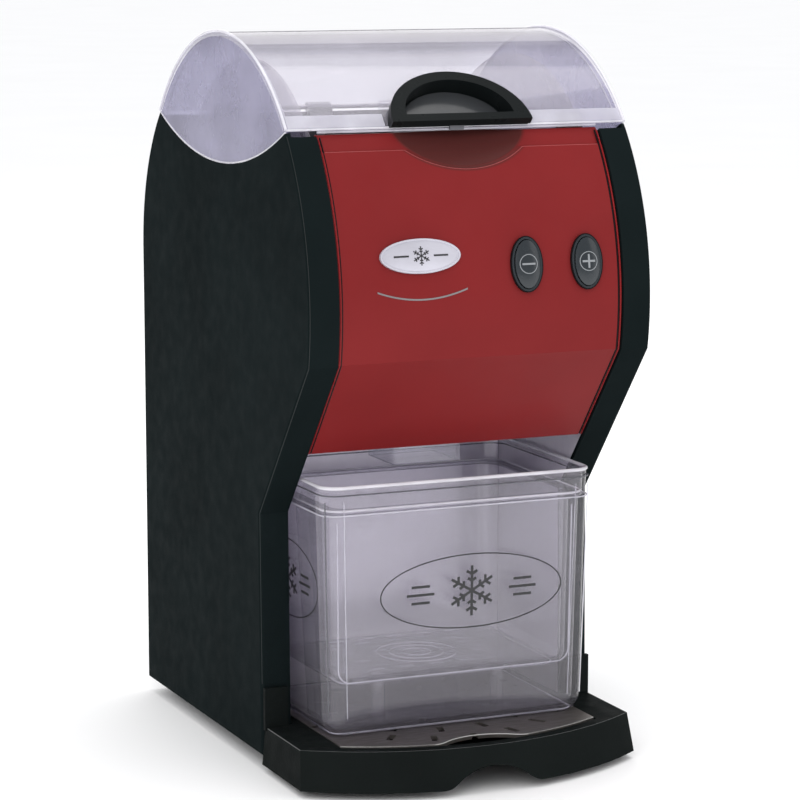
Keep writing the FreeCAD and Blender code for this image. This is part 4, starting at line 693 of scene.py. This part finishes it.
def lid_edges():
    """Painted highlights: bright lines along the clear lid's ends and its front edge, round the
    notch's rim, and a pale band on the roof beside the grip.
    """
    for name, arc, inset, count, x, thick, look, slot in (
            ("end_rims", ROOF_ARC, 0.3, 60, LID_END, 0.9, "rim", "clear"),
            ("cheek_seams", INNER_ARC, 3.4, 60, LID_SEAM, 0.55, "painted_highlight_soft", "clear"),
            ("notch_rims", NOTCH_ARC, 1.2, 40, LID_END, 0.7, "rim", "frosted")):
        lines = [arc_points(arc, LID_FRONT + inset, LID_REAR - inset, count, side * x,
                            above=arc is not NOTCH_ARC) for side in (-1, 1)]
        wire("lid_" + name, lines, thick, look, "lid", slot)
    for name, half, y, z, look in (
            ("bead", HALF_WIDTH - 1, LID_FRONT + 0.9, LID_EDGE + 0.7, "rim"),
            ("lip", LID_LIP, LID_FRONT + 0.5, LID_EDGE - 0.9, "painted_highlight_soft")):
        wire("lid_front_" + name, [[(-half, y, z), (half, y, z)]], 0.8, look, "lid", "clear")
    near, far, low, high = LID_BORDER
    steps = 20
    for name, first, last in (("left", -far, -near), ("right", near, far)):
        line = [first + (last - first) * step / steps for step in range(steps + 1)]
        ribbon("lid_border_" + name, [(u, LID_EDGE + high) for u in line],
               [(u, LID_EDGE + low) for u in line], 0.3, arc_spot(ROOF_ARC), "painted_highlight_soft", "lid",
               "clear", closed=False)


def lid_fittings():
    """The catch at the lid's front edge and the glossy floor of the grip's finger cup, painted a
    lighter grey than the grip as sheen.
    """
    low, high = CATCH
    corners = [(x, y, z) for z in (low[2], high[2]) for x, y in (
        (low[0], low[1]), (high[0], low[1]), (high[0], high[1]), (low[0], high[1]))]
    sides = [(0, 3, 2, 1), (4, 5, 6, 7), (0, 1, 5, 4), (1, 2, 6, 5), (2, 3, 7, 6), (3, 0, 4, 7)]
    from_faces("lid_catch", corners, sides, "dark_shade_lines_and_catch", "lid", "grip")
    tilt = Matrix.Rotation(math.radians(GRIP["tilt"]), 4, "X")
    matrix = Matrix.Translation((0, GRIP["y"], GRIP["z"])) @ tilt
    outline = []
    for step in range(ARC_STEPS + 1):
        turn = math.pi * step / ARC_STEPS
        outline.append((GRIP["cup"] * math.cos(turn), GRIP["lift"] + GRIP["long"] * math.sin(turn)))
    plaque("grip_cup_floor", outline, 0.3, flat_spot(matrix, GRIP["floor"]), "cup", "lid", "grip")


def panel_line():
    """A painted highlight: a fine light line where the panel steps back at the top and round the
    scoop.
    """
    spot = arc_spot(PANEL_ARC, 0.12)
    line = []
    for x in range(-88, 89, 2):
        across = max(0.0, SCOOP_RIM["radius"] ** 2 - x ** 2)
        rim = SCOOP_RIM["z"] - SCOOP_RIM["slope"] * math.sqrt(across)
        line.append(spot(x, min(PANEL_STEP, rim), 0))
    wire("panel_step_line", [line], 0.22, "painted_step_highlight", "root", "panel")


def panel_rims():
    """Painted shade as a dark line in the groove down each side of the panel, and a painted
    highlight as a bright red line on the rim outside it.
    """
    # The groove line is painted shade in the bezel's black; the rim line is a painted highlight.
    for name, look, x, inset, thick in (("groove", "bezel", 88.9, 0.35, 0.5),
                                        ("rim", "painted_rim_highlight_red", 90.05, 0.0, 0.4)):
        spot = arc_spot(PANEL_ARC, inset)
        lines = []
        for side in (-1, 1):
            line = [spot(side * x, PANEL_RIM["top"] - PANEL_RIM["tall"] * step / ARC_STEPS, 0)
                    for step in range(ARC_STEPS + 1)]
            _, y, z = line[-1]
            line.append((side * x, y + PANEL_RIM["run_y"], z + PANEL_RIM["run_z"]))
            lines.append(line)
        wire(f"panel_{name}_line", lines, thick, look, "root", "panel")


def shell_lines():
    """Painted highlights: fine dim grey lines down the rounded front edges of the side shells."""
    middle_y, middle_z, _ = PANEL_ARC
    radius = SHELL_RADIUS - SHELL_LINE["under"]
    first, last = (math.atan2(z - middle_z, middle_y - y) for y, z in SHELL_ENDS)
    for name, side in (("left", -1), ("right", 1)):
        x = side * SHELL_LINE["x"]
        line = [(x, y, z) for y, z in SHELL_POST]
        for step in range(ARC_STEPS + 1):
            turn = first + (last - first) * step / ARC_STEPS
            line.append((x, middle_y - radius * math.cos(turn),
                         middle_z + radius * math.sin(turn)))
        wire(f"{name}_shell_line", [line], 0.2, "painted_edge_highlight_dim", "root", "shell")


def tray_edges():
    """Painted highlights: thin light lines along the tray's front rim and round the grille's front
    edge.
    """
    half, _, _, z = TRAY_LIP
    rim = [(-half, TRAY_LIP_REAR, z)] + bow_line(*TRAY_LIP) + [(half, TRAY_LIP_REAR, z)]
    wire("tray_rim_line", [rim], 0.3, "painted_edge_highlight_grey", "tray", "shell")
    half, _, _, z = GRILLE
    wide, foot, deep, shoulder = CUTOUT
    turn = 2 * math.atan(deep / wide)
    arch = wide / math.sin(turn) - shoulder
    side = wide - shoulder * math.sin(turn)
    notch = []
    steps = 60
    for step in range(1, steps):
        x = wide * (2 * step / steps - 1)
        if abs(x) > side:
            y = foot + shoulder - math.sqrt(shoulder ** 2 - (wide - abs(x)) ** 2)
        else:
            y = foot + deep - arch + math.sqrt(arch ** 2 - x ** 2)
        notch.append((x, y, z))
    left = bow_line(*GRILLE, -half, -wide, 16)
    right = bow_line(*GRILLE, wide, half, 16)
    wire("grille_edge_line", [left + notch + right], 0.32, "painted_edge_highlight_pale", "tray", "grille")


def soften():
    """Small edge roundings on the CAD parts that show."""
    for name, width in (("lid_handle", 1.6), ("drip_tray", 0.6), ("drip_grille", 0.35),
                        ("front_panel", 0.25), ("button_bezels", 0.3)):
        bevel(NODES[name], width)


# ---- camera, light and floor ------------------------------------------------------------------

def stage():
    """The camera, the floor, the lamps and the world."""
    scene = bpy.context.scene
    camera = bpy.data.objects.new("camera", bpy.data.cameras.new("camera"))
    scene.collection.objects.link(camera)
    camera.location = CAMERA["place"]
    camera.rotation_mode = "QUATERNION"
    camera.rotation_quaternion = Vector(CAMERA["ahead"]).to_track_quat("-Z", "Y")
    camera.data.sensor_width = CAMERA["sensor"]
    camera.data.lens = CAMERA["lens"]
    scene.camera = camera

    mesh = bpy.data.meshes.new("floor")
    mesh.from_pydata([(x * FLOOR_REACH, y * FLOOR_REACH, 0)
                      for x, y in ((-1, -1), (1, -1), (1, 1), (-1, 1))], [], [(0, 1, 2, 3)])
    floor = bpy.data.objects.new("floor", mesh)
    scene.collection.objects.link(floor)
    pale = Shader("floor_pale")
    tone = pale.ramp(pale.noise(3, 2), (0.3, (0.94, 0.94, 0.94)), (0.7, (0.955, 0.955, 0.955)))
    mesh.materials.append(pale.finish(pale.add("BsdfPrincipled", {
        "Base Color": tone, "Roughness": 0.9})))

    for name, spot, aim, wide, high, power in LAMPS:
        lamp = bpy.data.lights.new(name, "AREA")
        lamp.shape = "RECTANGLE"
        lamp.size = wide
        lamp.size_y = high
        lamp.energy = power
        lamp.color = LAMP_COLOUR
        item = bpy.data.objects.new(name, lamp)
        item.location = spot
        item.rotation_mode = "QUATERNION"
        item.rotation_quaternion = (Vector(aim) - Vector(spot)).to_track_quat("-Z", "Y")
        scene.collection.objects.link(item)

    world = bpy.data.worlds.new("studio")
    scene.world = world
    world.use_nodes = True
    tree = world.node_tree
    tree.nodes.clear()
    lights = []
    for colour, strength in WORLD:
        light = tree.nodes.new("ShaderNodeBackground")
        light.inputs["Color"].default_value = colour
        light.inputs["Strength"].default_value = strength
        lights.append(light.outputs[0])
    seen, lit, mirrored = lights
    path = tree.nodes.new("ShaderNodeLightPath")
    gloss = tree.nodes.new("ShaderNodeMixShader")
    mix = tree.nodes.new("ShaderNodeMixShader")
    out = tree.nodes.new("ShaderNodeOutputWorld")
    for source, socket in (
            (path.outputs["Is Glossy Ray"], gloss.inputs[0]), (lit, gloss.inputs[1]),
            (mirrored, gloss.inputs[2]), (path.outputs["Is Camera Ray"], mix.inputs[0]),
            (gloss.outputs[0], mix.inputs[1]), (seen, mix.inputs[2]),
            (mix.outputs[0], out.inputs["Surface"])):
        tree.links.new(source, socket)
    scene.view_settings.view_transform = "Standard"
    scene.cycles.transparent_max_bounces = 32


stage()
dress_nodes()
soften()
button_faces()
badge_face()
bin_prints()
bin_edges()
lid_edges()
lid_fittings()
tray_edges()
panel_line()
panel_rims()
shell_lines()

bpy.context.view_layer.update()
